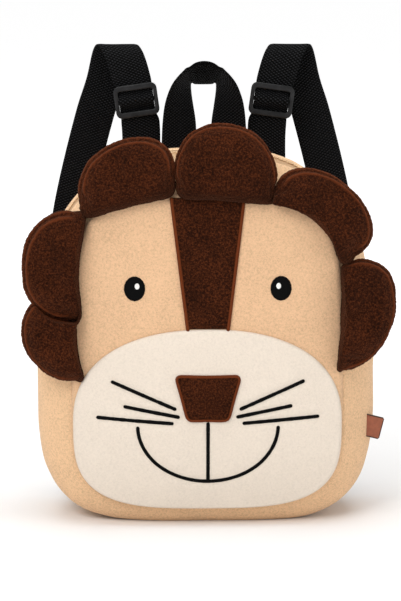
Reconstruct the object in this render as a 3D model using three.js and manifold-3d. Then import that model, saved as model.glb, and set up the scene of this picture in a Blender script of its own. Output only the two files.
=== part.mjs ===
// A plush lion backpack for a small child: a soft bag with a face on its front panel, six stuffed
// mane lobes in the front seam, a webbing carry handle and two webbing shoulder straps.
// Millimetres. The origin is on the floor at the middle of the base, +Z is up and the face looks along -Y.
import * as THREE from "three";
import { ParametricGeometry } from "three/addons/geometries/ParametricGeometry.js";
import { mergeVertices } from "three/addons/utils/BufferGeometryUtils.js";
import Module from "manifold-3d";

const wasm = await Module();
wasm.setup();

// Driving dimensions of the bag
const bodyWidth = 256;
const bodyHeight = 278;
const bodyDepth = 90; // from the front seam to the back seam
const widestLevel = 113; // height at which the side wall is widest
const middleSetback = 3; // from the origin back to the middle of the depth
const baseDip = 3; // the round side wall would reach this far below the floor, so its base is flat
const sideInset = 27; // from the widest outline in to the front seam, at the sides
const topInset = 29; // the same at the top
const bottomInset = 12; // the same at the bottom
const faceLevelShare = 0.283; // height of the face's widest line, as a share of the face
const backShare = 0.35; // how much of that inset the back seam regains
const sidePower = 2.2; // the side wall's curve from front to back: 2 is round and more is flatter
const basePower = 6; // the same along the base

// Cloth and padding
const sideWall = 3;
const frontWall = 4;
const backWall = 5;
const frontDome = 9; // how far the middle of the face stands out from its rim
const backDome = 3;
const domePower = 2.6;
const webbingWidth = 30;
const webbingThickness = 1.8;

// Face
const muzzleThickness = 2.5;
const patchThickness = 1.6; // forehead stripe and nose
const stitchThickness = 1;
const strokeWidth = 2.4; // whiskers and mouth
const faceMargin = 1; // from the seam in to the muzzle's edge

// Mane
const lobeWidth = 78;
const lobeReach = 30; // from a lobe's widest line out to its tip
const lobeRoot = 15.5; // from its widest line in to its root
const lobeThickness = 34;
const lobeForward = 3; // from the front seam forward to the middle of a lobe

// Handle, straps and sliders
const handleSpan = 66;
const handleRise = 83; // above the back seam
const strapRise = 93.5; // above the back seam
const strapSpread = 60; // from a strap's root out to its widest place
const strapBow = 36; // how far a strap bows out behind the back seam
const sliderHeight = 25;
const sliderThickness = 2.8;
const sliderBar = 4.4; // top and bottom bars
const sliderSide = 2.7; // side bars
const sliderMiddle = 3.4; // centre bar
const middleBarShare = 0.7; // its thickness, as a share of the slider's, level with the slider's back
const strapWeave = 5.4; // how far the webbing comes forward over the centre bar

// Zip and tag
const zipWidth = 24;
const zipThickness = 1.6;
const zipForward = 8; // from the middle of the depth forward to the zip's centre line
const zipReach = 0.3; // the zip's half length, as a share of a full turn round the outline's parameter
const zipSink = 0.5; // how deep the zip tape lies in the side wall
const pullWidth = 8;
const pullLength = 24;
const pullThickness = 2;
const pullTurn = 0.125; // where the pull lies, as a turn of the outline
const tagWidth = 11; // how far it stands out of the side wall
const tagHeight = 17;
const tagThickness = 1.6;
const tagTilt = -14; // degrees
const tagForward = 23; // from the middle of the depth forward

// Clearances
const seamGap = 0.3; // between sewn pieces
const patchGap = 0.4; // under pieces laid on the domed face
const threadGap = 0.5; // beside the webbing in a slider
const weldDistance = 1e-4;
const pullStep = 0.01; // half the turn over which the pull's direction is read

// Facet counts
const bodyFacets = 56;
const sideFacets = 8;
const panelFacets = 4;
const zipFacets = 24;
const lobeRingFacets = 9;
const lobeFacets = 22;
const strapStep = 6;
const weaveStep = 1.9; // the strap's step inside the slider

// Outlines of the bag. Each is a superellipse whose upper and lower halves have their own power,
// 2 for an ellipse and more for a squarer shape.
const frontSeam = {
  half: bodyWidth / 2 - sideInset,
  level: bottomInset + (bodyHeight - topInset - bottomInset) * faceLevelShare,
  top: bodyHeight - topInset,
  bottom: bottomInset,
  powerUp: 5.2,
  powerDown: 3.3,
};
const widest = {
  half: bodyWidth / 2,
  level: widestLevel,
  top: bodyHeight,
  bottom: -baseDip,
  powerUp: 2.7,
  powerDown: 3.9,
};
const middleY = middleSetback;
const frontSeamY = middleY - bodyDepth / 2;
const backSeamY = middleY + bodyDepth / 2;
const faceHeight = frontSeam.top - frontSeam.bottom;
const backSeamTop = frontSeam.top + (widest.top - frontSeam.top) * backShare;

const colours = {
  tan: 0xe8c498,
  tanSide: 0xe2b98a,
  brown: 0x3e2216,
  cream: 0xf0e6d6,
  nose: 0x4a2617,
  black: 0x161414,
  white: 0xf4f2ee,
  webbing: 0x1c1c1d,
  plastic: 0x2b2b2d,
  leather: 0xb46a4a,
};

// Body building

// Welds a surface whose edges meet into one closed body, dropping its collapsed triangles.
function welded(geometry) {
  geometry.deleteAttribute("normal");
  geometry.deleteAttribute("uv");
  const merged = mergeVertices(geometry, weldDistance);
  const old = merged.index.array;
  const kept = [];
  for (let i = 0; i < old.length; i += 3) {
    const [a, b, c] = [old[i], old[i + 1], old[i + 2]];
    if (a !== b && b !== c && c !== a) kept.push(a, b, c);
  }
  merged.setIndex(kept);
  return merged;
}

// A closed body from rings of points: ringPoint(ring, turn) with turn from 0 to 1. A first or last
// ring that is a single point closes the body there; otherwise the rings themselves come back round.
function ringBody(rings, around, ringPoint) {
  const surface = new ParametricGeometry(
    (u, v, target) => target.copy(ringPoint(Math.round(v * (rings - 1)), u % 1)),
    around,
    rings - 1,
  );
  return solid(welded(surface));
}

function solid(geometry) {
  const mesh = new wasm.Mesh({
    numProp: 3,
    vertProperties: new Float32Array(geometry.attributes.position.array),
    triVerts: new Uint32Array(geometry.index.array),
  });
  const made = new wasm.Manifold(mesh);
  if (made.volume() > 0) return made;
  const turned = mesh.triVerts.slice();
  for (let i = 0; i < turned.length; i += 3) {
    [turned[i + 1], turned[i + 2]] = [turned[i + 2], turned[i + 1]];
  }
  return new wasm.Manifold(
    new wasm.Mesh({ numProp: 3, vertProperties: mesh.vertProperties, triVerts: turned }),
  );
}

function shapeSolid(shape, depth, bevel, curveSegments) {
  const geometry = new THREE.ExtrudeGeometry(shape, {
    depth: depth - 2 * bevel,
    bevelEnabled: bevel > 0,
    bevelThickness: bevel,
    bevelSize: bevel,
    bevelOffset: -bevel,
    bevelSegments: 1,
    curveSegments,
  });
  geometry.translate(0, 0, bevel - depth / 2);
  return geometry;
}

const group = new THREE.Group();
group.name = "lion_backpack";

function addMesh(name, body, colour, roughness) {
  const made = body.getMesh();
  const geometry = new THREE.BufferGeometry();
  geometry.setAttribute("position", new THREE.BufferAttribute(made.vertProperties, 3));
  geometry.setIndex(new THREE.BufferAttribute(made.triVerts, 1));
  geometry.computeVertexNormals();
  const material = new THREE.MeshStandardMaterial({ color: colour, roughness, metalness: 0 });
  const mesh = new THREE.Mesh(geometry, material);
  mesh.name = name;
  group.add(mesh);
}

// Outline and surface functions

// The point of an outline at a turn from 0 to 1, starting at +X and going up, grown outwards.
function outlinePoint(outline, turn, grow) {
  const angle = turn * 2 * Math.PI;
  const [c, s] = [Math.cos(angle), Math.sin(angle)];
  const power = s >= 0 ? outline.powerUp : outline.powerDown;
  const reach = s >= 0 ? outline.top - outline.level : outline.level - outline.bottom;
  return {
    x: (outline.half + grow) * Math.sign(c) * Math.abs(c) ** (2 / power),
    z: outline.level + (reach + grow) * Math.sign(s) * Math.abs(s) ** (2 / power),
  };
}

// How far a point lies from the middle of an outline, 1 on the outline itself.
function outlineShare(outline, x, z) {
  const above = z >= outline.level;
  const power = above ? outline.powerUp : outline.powerDown;
  const reach = above ? outline.top - outline.level : outline.level - outline.bottom;
  const sum = Math.abs(x / outline.half) ** power + Math.abs((z - outline.level) / reach) ** power;
  return sum ** (1 / power);
}

// How far the side wall has bulged out, from 0 at the front seam to 1 at its widest.
function bulge(y, turn) {
  const down = Math.max(0, -Math.sin(turn * 2 * Math.PI));
  const power = sidePower + (basePower - sidePower) * down ** 2;
  const share = (y - middleY) / (bodyDepth / 2);
  const lost = share < 0 ? 1 : 1 - backShare;
  return 1 - lost * Math.min(1, Math.abs(share)) ** power;
}

// The outside of the side wall, grown outwards.
function sidePoint(y, turn, grow) {
  const near = outlinePoint(frontSeam, turn, grow);
  const far = outlinePoint(widest, turn, grow);
  const share = bulge(y, turn);
  const x = near.x + (far.x - near.x) * share;
  const z = near.z + (far.z - near.z) * share;
  return new THREE.Vector3(x, y, Math.max(z, -grow));
}

// The front of the face panel, which is a dome.
function faceY(x, z) {
  const share = Math.min(1, outlineShare(frontSeam, x, z));
  return frontSeamY - frontWall - frontDome * (1 - share ** domePower);
}

const muzzleBack = (x, z) => faceY(x, z) - patchGap;
const muzzleFront = (x, z) => muzzleBack(x, z) - muzzleThickness;

// A thin plate that follows a surface: rings run out over its front and back over its rear.
function plate(edge, centre, frontY, rearY, around, rings) {
  return ringBody(2 * rings + 2, around, (ring, turn) => {
    const front = ring <= rings;
    const share = (front ? ring : 2 * rings + 1 - ring) / rings;
    const rim = edge(turn);
    const x = centre.x + (rim.x - centre.x) * share;
    const z = centre.z + (rim.z - centre.z) * share;
    return new THREE.Vector3(x, front ? frontY(x, z) : rearY(x, z), z);
  });
}

// A flat band of webbing or stitching through stations of { middle, across }, closed at both ends.
function band(stations, thickness) {
  const last = stations.length - 1;
  return ringBody(stations.length + 2, 4, (ring, turn) => {
    const at = Math.min(last, Math.max(0, ring - 1));
    const { middle, across } = stations[at];
    if (ring === 0 || ring === last + 2) return middle.clone();
    const before = stations[Math.max(0, at - 1)].middle;
    const after = stations[Math.min(last, at + 1)].middle;
    const normal = after.clone().sub(before).cross(across).normalize();
    const corner = Math.round(turn * 4) % 4;
    const side = corner === 1 || corner === 2 ? 1 : -1;
    const face = corner > 1 ? 1 : -1;
    return middle
      .clone()
      .addScaledVector(across, side / 2)
      .addScaledVector(normal, (face * thickness) / 2);
  });
}

// The whole bag with nothing hollow, grown outwards. What is sewn to it is cut back by this.
function bagEnvelope(grow) {
  const front = panelFacets + 1;
  const side = sideFacets + 1;
  return ringBody(front + side + panelFacets + 1, bodyFacets, (ring, turn) => {
    if (ring < front) {
      const rim = outlinePoint(frontSeam, turn, grow);
      const share = ring / panelFacets;
      const x = rim.x * share;
      const z = frontSeam.level + (rim.z - frontSeam.level) * share;
      return new THREE.Vector3(x, faceY(x, z) - grow, z);
    }
    if (ring < front + side) {
      return sidePoint(frontSeamY + ((ring - front) / sideFacets) * bodyDepth, turn, grow);
    }
    const share = 1 - (ring - front - side) / panelFacets;
    const rim = sidePoint(backSeamY, turn, grow);
    const z = frontSeam.level + (rim.z - frontSeam.level) * share;
    return new THREE.Vector3(rim.x * share, backY(share) + grow, z);
  });
}

const backY = (share) => backSeamY + backWall + backDome * (1 - share ** domePower);
const envelope = bagEnvelope(seamGap);

// Sub-parts of the bag

function frontPanel() {
  const rear = (x, z) => faceY(x, z) + frontWall;
  const edge = (turn) => outlinePoint(frontSeam, turn, 0);
  return plate(edge, { x: 0, z: frontSeam.level }, faceY, rear, bodyFacets, panelFacets);
}

function backPanel() {
  const centre = { x: 0, z: frontSeam.level };
  return ringBody(2 * panelFacets + 2, bodyFacets, (ring, turn) => {
    const outside = ring <= panelFacets;
    const share = (outside ? ring : 2 * panelFacets + 1 - ring) / panelFacets;
    const rim = sidePoint(backSeamY, turn, 0);
    const z = centre.z + (rim.z - centre.z) * share;
    const y = outside ? backY(share) : backY(share) - backWall + seamGap;
    return new THREE.Vector3(rim.x * share, y, z);
  });
}

function gusset() {
  const rows = sideFacets + 1;
  const from = frontSeamY + seamGap;
  const depth = bodyDepth - seamGap;
  const tube = ringBody(2 * rows + 1, bodyFacets, (ring, turn) => {
    const place = ring % (2 * rows);
    const outside = place < rows;
    const row = outside ? place : 2 * rows - 1 - place;
    return sidePoint(from + (depth * row) / sideFacets, turn, outside ? 0 : -sideWall);
  });
  return tube.subtract(crownBand(seamGap, 2 * sideWall, 2 * sideWall));
}

// A band that follows the crown of the side wall, from a height above its surface to a depth in it.
function crownBand(grow, above, below) {
  const half = zipReach / 2 + grow / bodyWidth;
  return ringBody(zipFacets + 3, 4, (ring, turn) => {
    const step = Math.min(zipFacets, Math.max(0, ring - 1));
    const at = 0.25 + half * ((2 * step) / zipFacets - 1);
    const corner = Math.round(turn * 4) % 4;
    const ahead = corner === 1 || corner === 2 ? 1 : -1;
    const end = ring === 0 || ring === zipFacets + 2;
    const y = middleY - zipForward + (end ? 0 : ahead * (zipWidth / 2 + grow));
    const lift = corner > 1 ? above : -below;
    return sidePoint(y, at, end ? (above - below) / 2 : lift);
  });
}

const zip = () => crownBand(0, -zipSink, zipSink + zipThickness);

// The pull lies flat on the zip near its right end, along it.
function zipPull() {
  const zipEdge = (turn, ahead) =>
    sidePoint(middleY - zipForward + (ahead * zipWidth) / 2, turn, -zipSink);
  const zipMiddle = (turn) => zipEdge(turn, 1).add(zipEdge(turn, -1)).multiplyScalar(0.5);
  const run = zipMiddle(pullTurn + pullStep).sub(zipMiddle(pullTurn - pullStep)).normalize();
  const out = zipEdge(pullTurn, 1).sub(zipEdge(pullTurn, -1)).cross(run).normalize();
  const reach = (pullLength - pullWidth) / 2;
  const shape = new THREE.Shape();
  shape.absarc(-reach, 0, pullWidth / 2, Math.PI / 2, 1.5 * Math.PI, false);
  shape.absarc(reach, 0, pullWidth / 2, -Math.PI / 2, Math.PI / 2, false);
  const hole = new THREE.Path();
  hole.absarc(reach, 0, pullWidth / 4, 0, 2 * Math.PI, true);
  shape.holes.push(hole);
  const geometry = shapeSolid(shape, pullThickness, 0, 5);
  const place = zipMiddle(pullTurn).addScaledVector(out, pullThickness / 2 + seamGap);
  const lying = new THREE.Matrix4().makeBasis(run, out.clone().cross(run), out);
  geometry.applyMatrix4(lying.setPosition(place));
  return solid(welded(geometry));
}

// Sub-parts of the face. Places are shares of the face: across from its middle, up from its bottom.
const faceX = (across) => across * frontSeam.half;
const faceZ = (up) => frontSeam.bottom + up * faceHeight;

const muzzleOutline = {
  half: frontSeam.half - faceMargin,
  level: frontSeam.level,
  top: faceZ(0.582),
  bottom: frontSeam.bottom + faceMargin,
  powerUp: 2.3,
  powerDown: frontSeam.powerDown,
};

function muzzle() {
  const edge = (turn) => outlinePoint(muzzleOutline, turn, 0);
  const centre = { x: 0, z: muzzleOutline.level };
  return plate(edge, centre, muzzleFront, muzzleBack, bodyFacets, panelFacets);
}

// A four-cornered patch: rows of { across, up }, with straight edges and rounded corners.
function patchEdge(corners, rounding, perEdge) {
  const points = [];
  corners.forEach((corner, i) => {
    const next = corners[(i + 1) % corners.length];
    const before = corners[(i + corners.length - 1) % corners.length];
    const here = new THREE.Vector2(faceX(corner.across), faceZ(corner.up));
    const ahead = new THREE.Vector2(faceX(next.across), faceZ(next.up)).sub(here);
    const behind = new THREE.Vector2(faceX(before.across), faceZ(before.up)).sub(here);
    const start = here.clone().addScaledVector(behind.clone().normalize(), rounding);
    const end = here.clone().addScaledVector(ahead.clone().normalize(), rounding);
    const turn = new THREE.QuadraticBezierCurve(start, here, end);
    points.push(...turn.getPoints(2));
    for (let k = 1; k < perEdge; k += 1) {
      const reach = rounding + (ahead.length() - 2 * rounding) * (k / perEdge);
      points.push(here.clone().addScaledVector(ahead.clone().normalize(), reach));
    }
  });
  return points;
}

// The patch itself, grown outwards and forwards.
function facePatch(corners, rounding, perEdge, rings, rearY, grow) {
  const middleUp = corners.reduce((sum, corner) => sum + corner.up, 0) / corners.length;
  const middle = new THREE.Vector2(0, faceZ(middleUp));
  const points = patchEdge(corners, rounding, perEdge);
  const edge = (turn) => {
    const out = points[Math.round(turn * points.length) % points.length].clone().sub(middle);
    out.setLength(out.length() + grow).add(middle);
    return { x: out.x, z: out.y };
  };
  const frontY = (x, z) => rearY(x, z) - patchThickness - grow;
  return plate(edge, { x: 0, z: middle.y }, frontY, rearY, points.length, rings);
}

const stripeCorners = [
  { across: 0.28, up: 0.99 },
  { across: -0.28, up: 0.99 },
  { across: -0.157, up: 0.585 },
  { across: 0.157, up: 0.585 },
];
const stripeRear = (x, z) => faceY(x, z) - patchGap;
const foreheadStripe = (grow) => facePatch(stripeCorners, 1, 4, 3, stripeRear, grow);

const noseCorners = [
  { across: 0.247, up: 0.439 },
  { across: -0.247, up: 0.439 },
  { across: -0.157, up: 0.292 },
  { across: 0.157, up: 0.292 },
];
const noseRear = (x, z) => muzzleFront(x, z) - patchGap;
const nose = () => facePatch(noseCorners, 4.5, 3, 2, noseRear, 0);

// Ovals of the eyes, as shares of the face: half width and half height too.
const eye = { across: 0.534, up: 0.709, wide: 0.0775, tall: 0.0385 };
const shine = { across: 0.516, up: 0.717, wide: 0.018, tall: 0.0098 };

function faceOval(oval, side, rearY, around) {
  const [x, z] = [side * faceX(oval.across), faceZ(oval.up)];
  const edge = (turn) => ({
    x: x + Math.cos(turn * 2 * Math.PI) * faceX(oval.wide),
    z: z + Math.sin(turn * 2 * Math.PI) * oval.tall * faceHeight,
  });
  const frontY = (px, pz) => rearY(px, pz) - stitchThickness;
  return plate(edge, { x, z }, frontY, rearY, around, 1);
}

const eyeRear = (x, z) => faceY(x, z) - patchGap;
const shineRear = (x, z) => eyeRear(x, z) - stitchThickness - seamGap;

// A stitched stroke on the muzzle along a flat path.
function stroke(points) {
  const last = points.length - 1;
  const stations = points.map((point, i) => {
    const run = points[Math.min(last, i + 1)].clone().sub(points[Math.max(0, i - 1)]).normalize();
    const y = muzzleFront(point.x, point.y) - patchGap - stitchThickness / 2;
    return {
      middle: new THREE.Vector3(point.x, y, point.y),
      across: new THREE.Vector3(-run.y, 0, run.x).multiplyScalar(strokeWidth),
    };
  });
  return band(stations, stitchThickness);
}

const whiskers = [
  { outAcross: 0.71, outUp: 0.419, inAcross: 0.231, inUp: 0.33 },
  { outAcross: 0.62, outUp: 0.34, inAcross: 0.206, inUp: 0.306 },
  { outAcross: 0.82, outUp: 0.304, inAcross: 0.252, inUp: 0.286 },
];

function whisker(row, side) {
  const from = new THREE.Vector2(side * faceX(row.inAcross), faceZ(row.inUp));
  const to = new THREE.Vector2(side * faceX(row.outAcross), faceZ(row.outUp));
  return stroke(new THREE.LineCurve(from, to).getPoints(6));
}

// The smile is the lower half of an ellipse, with a line up from its middle to the nose.
const smile = { across: 0.515, up: 0.277, drop: 0.177 };

function mouth() {
  const [wide, drop] = [faceX(smile.across), smile.drop * faceHeight];
  const arc = new THREE.EllipseCurve(0, faceZ(smile.up), wide, drop, Math.PI, 2 * Math.PI);
  const noseBottom = faceZ(noseCorners[2].up) - seamGap;
  const top = new THREE.Vector2(0, noseBottom);
  const bottom = new THREE.Vector2(0, faceZ(smile.up) - drop);
  return stroke(arc.getPoints(24)).add(stroke(new THREE.LineCurve(top, bottom).getPoints(6)));
}

// Mane. Each lobe is a pillow: at is its direction in degrees from the middle of the face, were the
// face's upper half as wide as it is tall, beyond how far past the seam its widest line lies, out the
// direction it points, skew how far it leans sideways as it goes outwards, hollow how deep its root
// curves in, as a share of a root, and the rest shares of a lobe.
const lobes = [
  { name: "mane_top", at: 83, out: 86, beyond: 0.38, wide: 0.95, reach: 1.32, root: 1.07, skew: 0.09, hollow: 0.28 },
  { name: "mane_upper_left", at: 119, out: 104, beyond: 0.4, wide: 0.92, reach: 0.99, root: 1.36, skew: -0.19, hollow: 0.14 },
  { name: "mane_upper_right", at: 47.7, out: 50, beyond: 0, wide: 1.04, reach: 0.92, root: 1.55, skew: -0.06, hollow: 1.11 },
  { name: "mane_right", at: 24.5, out: -2, beyond: 0.11, wide: 1.04, reach: 1.16, root: 0.46, skew: 0.28, hollow: 0.17 },
  { name: "mane_left", at: 145.5, out: 177, beyond: 0.14, wide: 1.04, reach: 1.17, root: 0.8, skew: 0, hollow: 0.38 },
  { name: "mane_lower_left", at: 159.4, out: 182, beyond: 0.01, wide: 0.83, reach: 1.17, root: 0.69, skew: -0.15, hollow: 0.42 },
];
const lobeTipPower = 2.15;
const lobeRootPower = 5;
const lobeEdgePower = 0.75; // below 1 the filling stands out to the rim

// The point of the front seam in a direction from the middle of the face.
function seamPoint(angle) {
  const x = Math.cos(angle) * frontSeam.half;
  const z = Math.sin(angle) * (frontSeam.top - frontSeam.level);
  const share = outlineShare(frontSeam, x, frontSeam.level + z);
  return new THREE.Vector2(x / share, z / share);
}

function lobeSolid(row, grow) {
  const at = THREE.MathUtils.degToRad(row.at);
  const out = THREE.MathUtils.degToRad(row.out);
  const place = seamPoint(at);
  place.setLength(place.length() + row.beyond * lobeReach);
  const centre = new THREE.Vector3(place.x, frontSeamY - lobeForward, frontSeam.level + place.y);
  const outward = new THREE.Vector3(Math.cos(out), 0, Math.sin(out));
  const sideways = new THREE.Vector3(-Math.sin(out), 0, Math.cos(out));
  const half = (row.wide * lobeWidth) / 2 + grow;
  return ringBody(lobeRingFacets + 1, lobeFacets, (ring, turn) => {
    const lean = Math.PI * (ring / lobeRingFacets - 0.5);
    const share = Math.abs(Math.cos(lean)) ** lobeEdgePower;
    const angle = turn * 2 * Math.PI;
    const [c, s] = [Math.cos(angle), Math.sin(angle)];
    const power = s >= 0 ? lobeTipPower : lobeRootPower;
    const across = half * Math.sign(c) * Math.abs(c) ** (2 / power);
    const root = lobeRoot * (row.root - row.hollow * (1 - (across / half) ** 2));
    const reach = (s >= 0 ? row.reach * lobeReach : root) + grow;
    const ahead = reach * Math.sign(s) * Math.abs(s) ** (2 / power);
    return centre
      .clone()
      .addScaledVector(sideways, share * (across + row.skew * ahead))
      .addScaledVector(outward, share * ahead)
      .add(new THREE.Vector3(0, Math.sin(lean) * (lobeThickness / 2 + grow), 0));
  });
}

// A lobe is cut back by the bag, the stripe and the lobes before it in the table.
function maneLobe(index) {
  const before = lobes.slice(0, index).map((row) => lobeSolid(row, seamGap));
  return [envelope, foreheadStripe(seamGap), ...before].reduce(
    (left, neighbour) => left.subtract(neighbour),
    lobeSolid(lobes[index], 0),
  );
}

// Webbing. The handle's table gives its outer and inner edges: across as a share of half its span,
// up as a share of its rise.
const handleRows = [
  { outer: 1.0, outerUp: -0.06, inner: 0.17, innerUp: -0.06 },
  { outer: 0.97, outerUp: 0.4, inner: 0.18, innerUp: 0.4 },
  { outer: 0.915, outerUp: 0.58, inner: 0.24, innerUp: 0.56 },
  { outer: 0.845, outerUp: 0.68, inner: 0.28, innerUp: 0.66 },
  { outer: 0.727, outerUp: 0.785, inner: 0.3, innerUp: 0.74 },
  { outer: 0.56, outerUp: 0.87, inner: 0.29, innerUp: 0.768 },
  { outer: 0.375, outerUp: 0.935, inner: 0.24, innerUp: 0.772 },
  { outer: 0.2, outerUp: 0.985, inner: 0.12, innerUp: 0.772 },
  { outer: 0, outerUp: 1, inner: 0, innerUp: 0.772 },
];

function carryHandle() {
  const edges = (key) =>
    handleRows.map((row) => [row[key] * (handleSpan / 2), backSeamTop + row[key + "Up"] * handleRise]);
  const wholeCurve = (half) => {
    const mirrored = half.slice(0, -1).reverse();
    const points = [...half, ...mirrored.map(([x, z]) => [-x, z])];
    return new THREE.CatmullRomCurve3(points.map(([x, z]) => new THREE.Vector3(x, 0, z)));
  };
  const [outer, inner] = [wholeCurve(edges("outer")), wholeCurve(edges("inner"))];
  const steps = 4 * handleRows.length;
  const stations = [];
  for (let i = 0; i <= steps; i += 1) {
    const a = outer.getPoint(i / steps);
    const b = inner.getPoint(i / steps);
    const flat = a.distanceTo(b);
    const deep = Math.sqrt(Math.max(0, webbingWidth ** 2 - flat ** 2));
    const middle = a.clone().add(b).multiplyScalar(0.5).setY(backSeamY + webbingThickness);
    stations.push({ middle, across: b.clone().sub(a).setY(deep) });
  }
  return band(stations, webbingThickness).subtract(envelope);
}

// A shoulder strap's middle line: out from its root as a share of the spread, up as a share of the
// strap's top, behind as a share of the bow, and its tilt in degrees as seen from the front.
const strapRows = [
  { out: 0, up: 0.7175, behind: 0, tilt: 8 },
  { out: 0.005, up: 0.8297, behind: 0, tilt: 11 },
  { out: 0.058, up: 0.8814, behind: 0, tilt: 12, slider: true },
  { out: 0.167, up: 0.9568, behind: 0, tilt: 12 },
  { out: 0.233, up: 0.986, behind: 0.08, tilt: 6 },
  { out: 0.3, up: 1, behind: 0.24, tilt: 0 },
  { out: 0.36, up: 0.986, behind: 0.42, tilt: -7 },
  { out: 0.458, up: 0.918, behind: 0.5, tilt: -12 },
  { out: 0.592, up: 0.8475, behind: 0.56, tilt: -13 },
  { out: 0.908, up: 0.624, behind: 0.67, tilt: -13 },
  { out: 1.0, up: 0.48, behind: 0.92, tilt: -6 },
  { out: 0.98, up: 0.339, behind: 1, tilt: 0 },
  { out: 0.9, up: 0.198, behind: 0.75, tilt: 5 },
  { out: 0.76, up: 0.085, behind: 0.28, tilt: 8 },
  { out: 0.68, up: 0.045, behind: 0, tilt: 8 },
];
const strapTop = backSeamTop + strapRise;
const strapRoot = handleSpan / 2 + webbingWidth / 2 + seamGap;
const strapY = backSeamY + webbingThickness;
const sliderRow = strapRows.findIndex((row) => row.slider);
const weaveReach = sliderHeight / 2 - sliderBar; // the webbing is level again inside the outer bars

const strapCurve = (side) =>
  new THREE.CatmullRomCurve3(
    strapRows.map(
      (row) =>
        new THREE.Vector3(
          side * (strapRoot + row.out * strapSpread),
          strapY + row.behind * strapBow,
          row.up * strapTop,
        ),
    ),
  );

function strapTilt(share) {
  const place = share * (strapRows.length - 1);
  const at = Math.min(strapRows.length - 2, Math.floor(place));
  const tilt = THREE.MathUtils.lerp(strapRows[at].tilt, strapRows[at + 1].tilt, place - at);
  return THREE.MathUtils.degToRad(tilt);
}

function strap(side) {
  const curve = strapCurve(side);
  curve.arcLengthDivisions = 600;
  const length = curve.getLength();
  const lengths = curve.getLengths();
  const sliderAt = lengths[Math.round((sliderRow / (strapRows.length - 1)) * (lengths.length - 1))];
  const stations = [];
  for (let s = 0; s < length; s += Math.abs(s - sliderAt) < sliderHeight / 2 ? weaveStep : strapStep) {
    const share = curve.getUtoTmapping(s / length);
    const tilt = -side * strapTilt(share);
    const weave = Math.min(1, Math.abs(s - sliderAt) / weaveReach) * (Math.PI / 2);
    const middle = curve.getPoint(share);
    middle.y -= strapWeave * Math.cos(weave) ** 2;
    const across = new THREE.Vector3(Math.cos(tilt), 0, Math.sin(tilt)).multiplyScalar(webbingWidth);
    stations.push({ middle, across });
  }
  return band(stations, webbingThickness).subtract(envelope);
}

// The slider's outer bars lie before the webbing and its centre bar behind it.
function slider(side) {
  const opening = webbingWidth + 2 * threadGap;
  const outer = roundedRectangle(opening + 2 * sliderSide, sliderHeight, 3);
  const windowShape = roundedRectangle(opening, sliderHeight - 2 * sliderBar, 1);
  outer.holes.push(new THREE.Path(windowShape.getPoints(1)));
  const frame = shapeSolid(outer, sliderThickness, 0.6, 2);
  const barThickness = sliderThickness * middleBarShare;
  const bar = new THREE.BoxGeometry(opening + sliderSide, sliderMiddle, barThickness);
  bar.translate(0, 0, (barThickness - sliderThickness) / 2);
  const place = strapCurve(side).getPoint(sliderRow / (strapRows.length - 1));
  const tilt = -side * strapTilt(sliderRow / (strapRows.length - 1));
  const forward = (sliderThickness + webbingThickness) / 2 + threadGap;
  [frame, bar].forEach((geometry) => {
    geometry.rotateX(Math.PI / 2);
    geometry.rotateY(-tilt);
    geometry.translate(place.x, place.y - forward, place.z);
  });
  return solid(welded(frame)).add(solid(welded(bar)));
}

function roundedRectangle(width, height, radius) {
  const [w, h] = [width / 2 - radius, height / 2 - radius];
  const shape = new THREE.Shape();
  shape.absarc(w, h, radius, 0, Math.PI / 2, false);
  shape.absarc(-w, h, radius, Math.PI / 2, Math.PI, false);
  shape.absarc(-w, -h, radius, Math.PI, 1.5 * Math.PI, false);
  shape.absarc(w, -h, radius, 1.5 * Math.PI, 2 * Math.PI, false);
  return shape;
}

// The tag is a folded strip of leather in the right side, as a share of the bag's height.
const tagLevel = 0.253;

function sideTag() {
  const level = tagLevel * bodyHeight;
  const y = middleY - tagForward;
  const surface = sidePoint(y, 0, 0).x / outlineShare(widest, widest.half, level);
  const geometry = new THREE.BoxGeometry(2 * tagWidth, tagThickness, tagHeight);
  geometry.rotateY(THREE.MathUtils.degToRad(-tagTilt));
  geometry.translate(surface, y, level);
  return solid(welded(geometry)).subtract(envelope);
}

// Assembly
addMesh("front_panel", frontPanel(), colours.tan, 0.95);
addMesh("gusset", gusset(), colours.tanSide, 0.95);
addMesh("back_panel", backPanel(), colours.tanSide, 0.95);
addMesh("zip", zip(), colours.tanSide, 0.7);
addMesh("zip_pull", zipPull(), colours.tanSide, 0.5);
addMesh("muzzle", muzzle(), colours.cream, 0.95);
addMesh("forehead_stripe", foreheadStripe(0), colours.brown, 0.95);
addMesh("nose", nose(), colours.nose, 0.95);
addMesh("mouth", mouth(), colours.black, 0.6);
for (const [word, side] of [["left", -1], ["right", 1]]) {
  addMesh("eye_" + word, faceOval(eye, side, eyeRear, 20), colours.black, 0.5);
  addMesh("eye_shine_" + word, faceOval(shine, side, shineRear, 10), colours.white, 0.5);
  whiskers.forEach((row, i) => {
    addMesh("whisker_" + word + "_" + (i + 1), whisker(row, side), colours.black, 0.6);
  });
  addMesh("strap_" + word, strap(side), colours.webbing, 0.8);
  addMesh("slider_" + word, slider(side), colours.plastic, 0.35);
}
lobes.forEach((row, i) => addMesh(row.name, maneLobe(i), colours.brown, 0.95));
addMesh("carry_handle", carryHandle(), colours.webbing, 0.8);
addMesh("side_tag", sideTag(), colours.leather, 0.6);

export default group;
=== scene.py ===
"""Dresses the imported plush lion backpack: plush cloth, stuffed mane, satin stitching and webbing."""

import math

import bmesh
import bpy
from bpy.props import FloatProperty, FloatVectorProperty, PointerProperty
from mathutils import Matrix, Vector, noise
from mathutils.bvhtree import BVHTree


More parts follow.
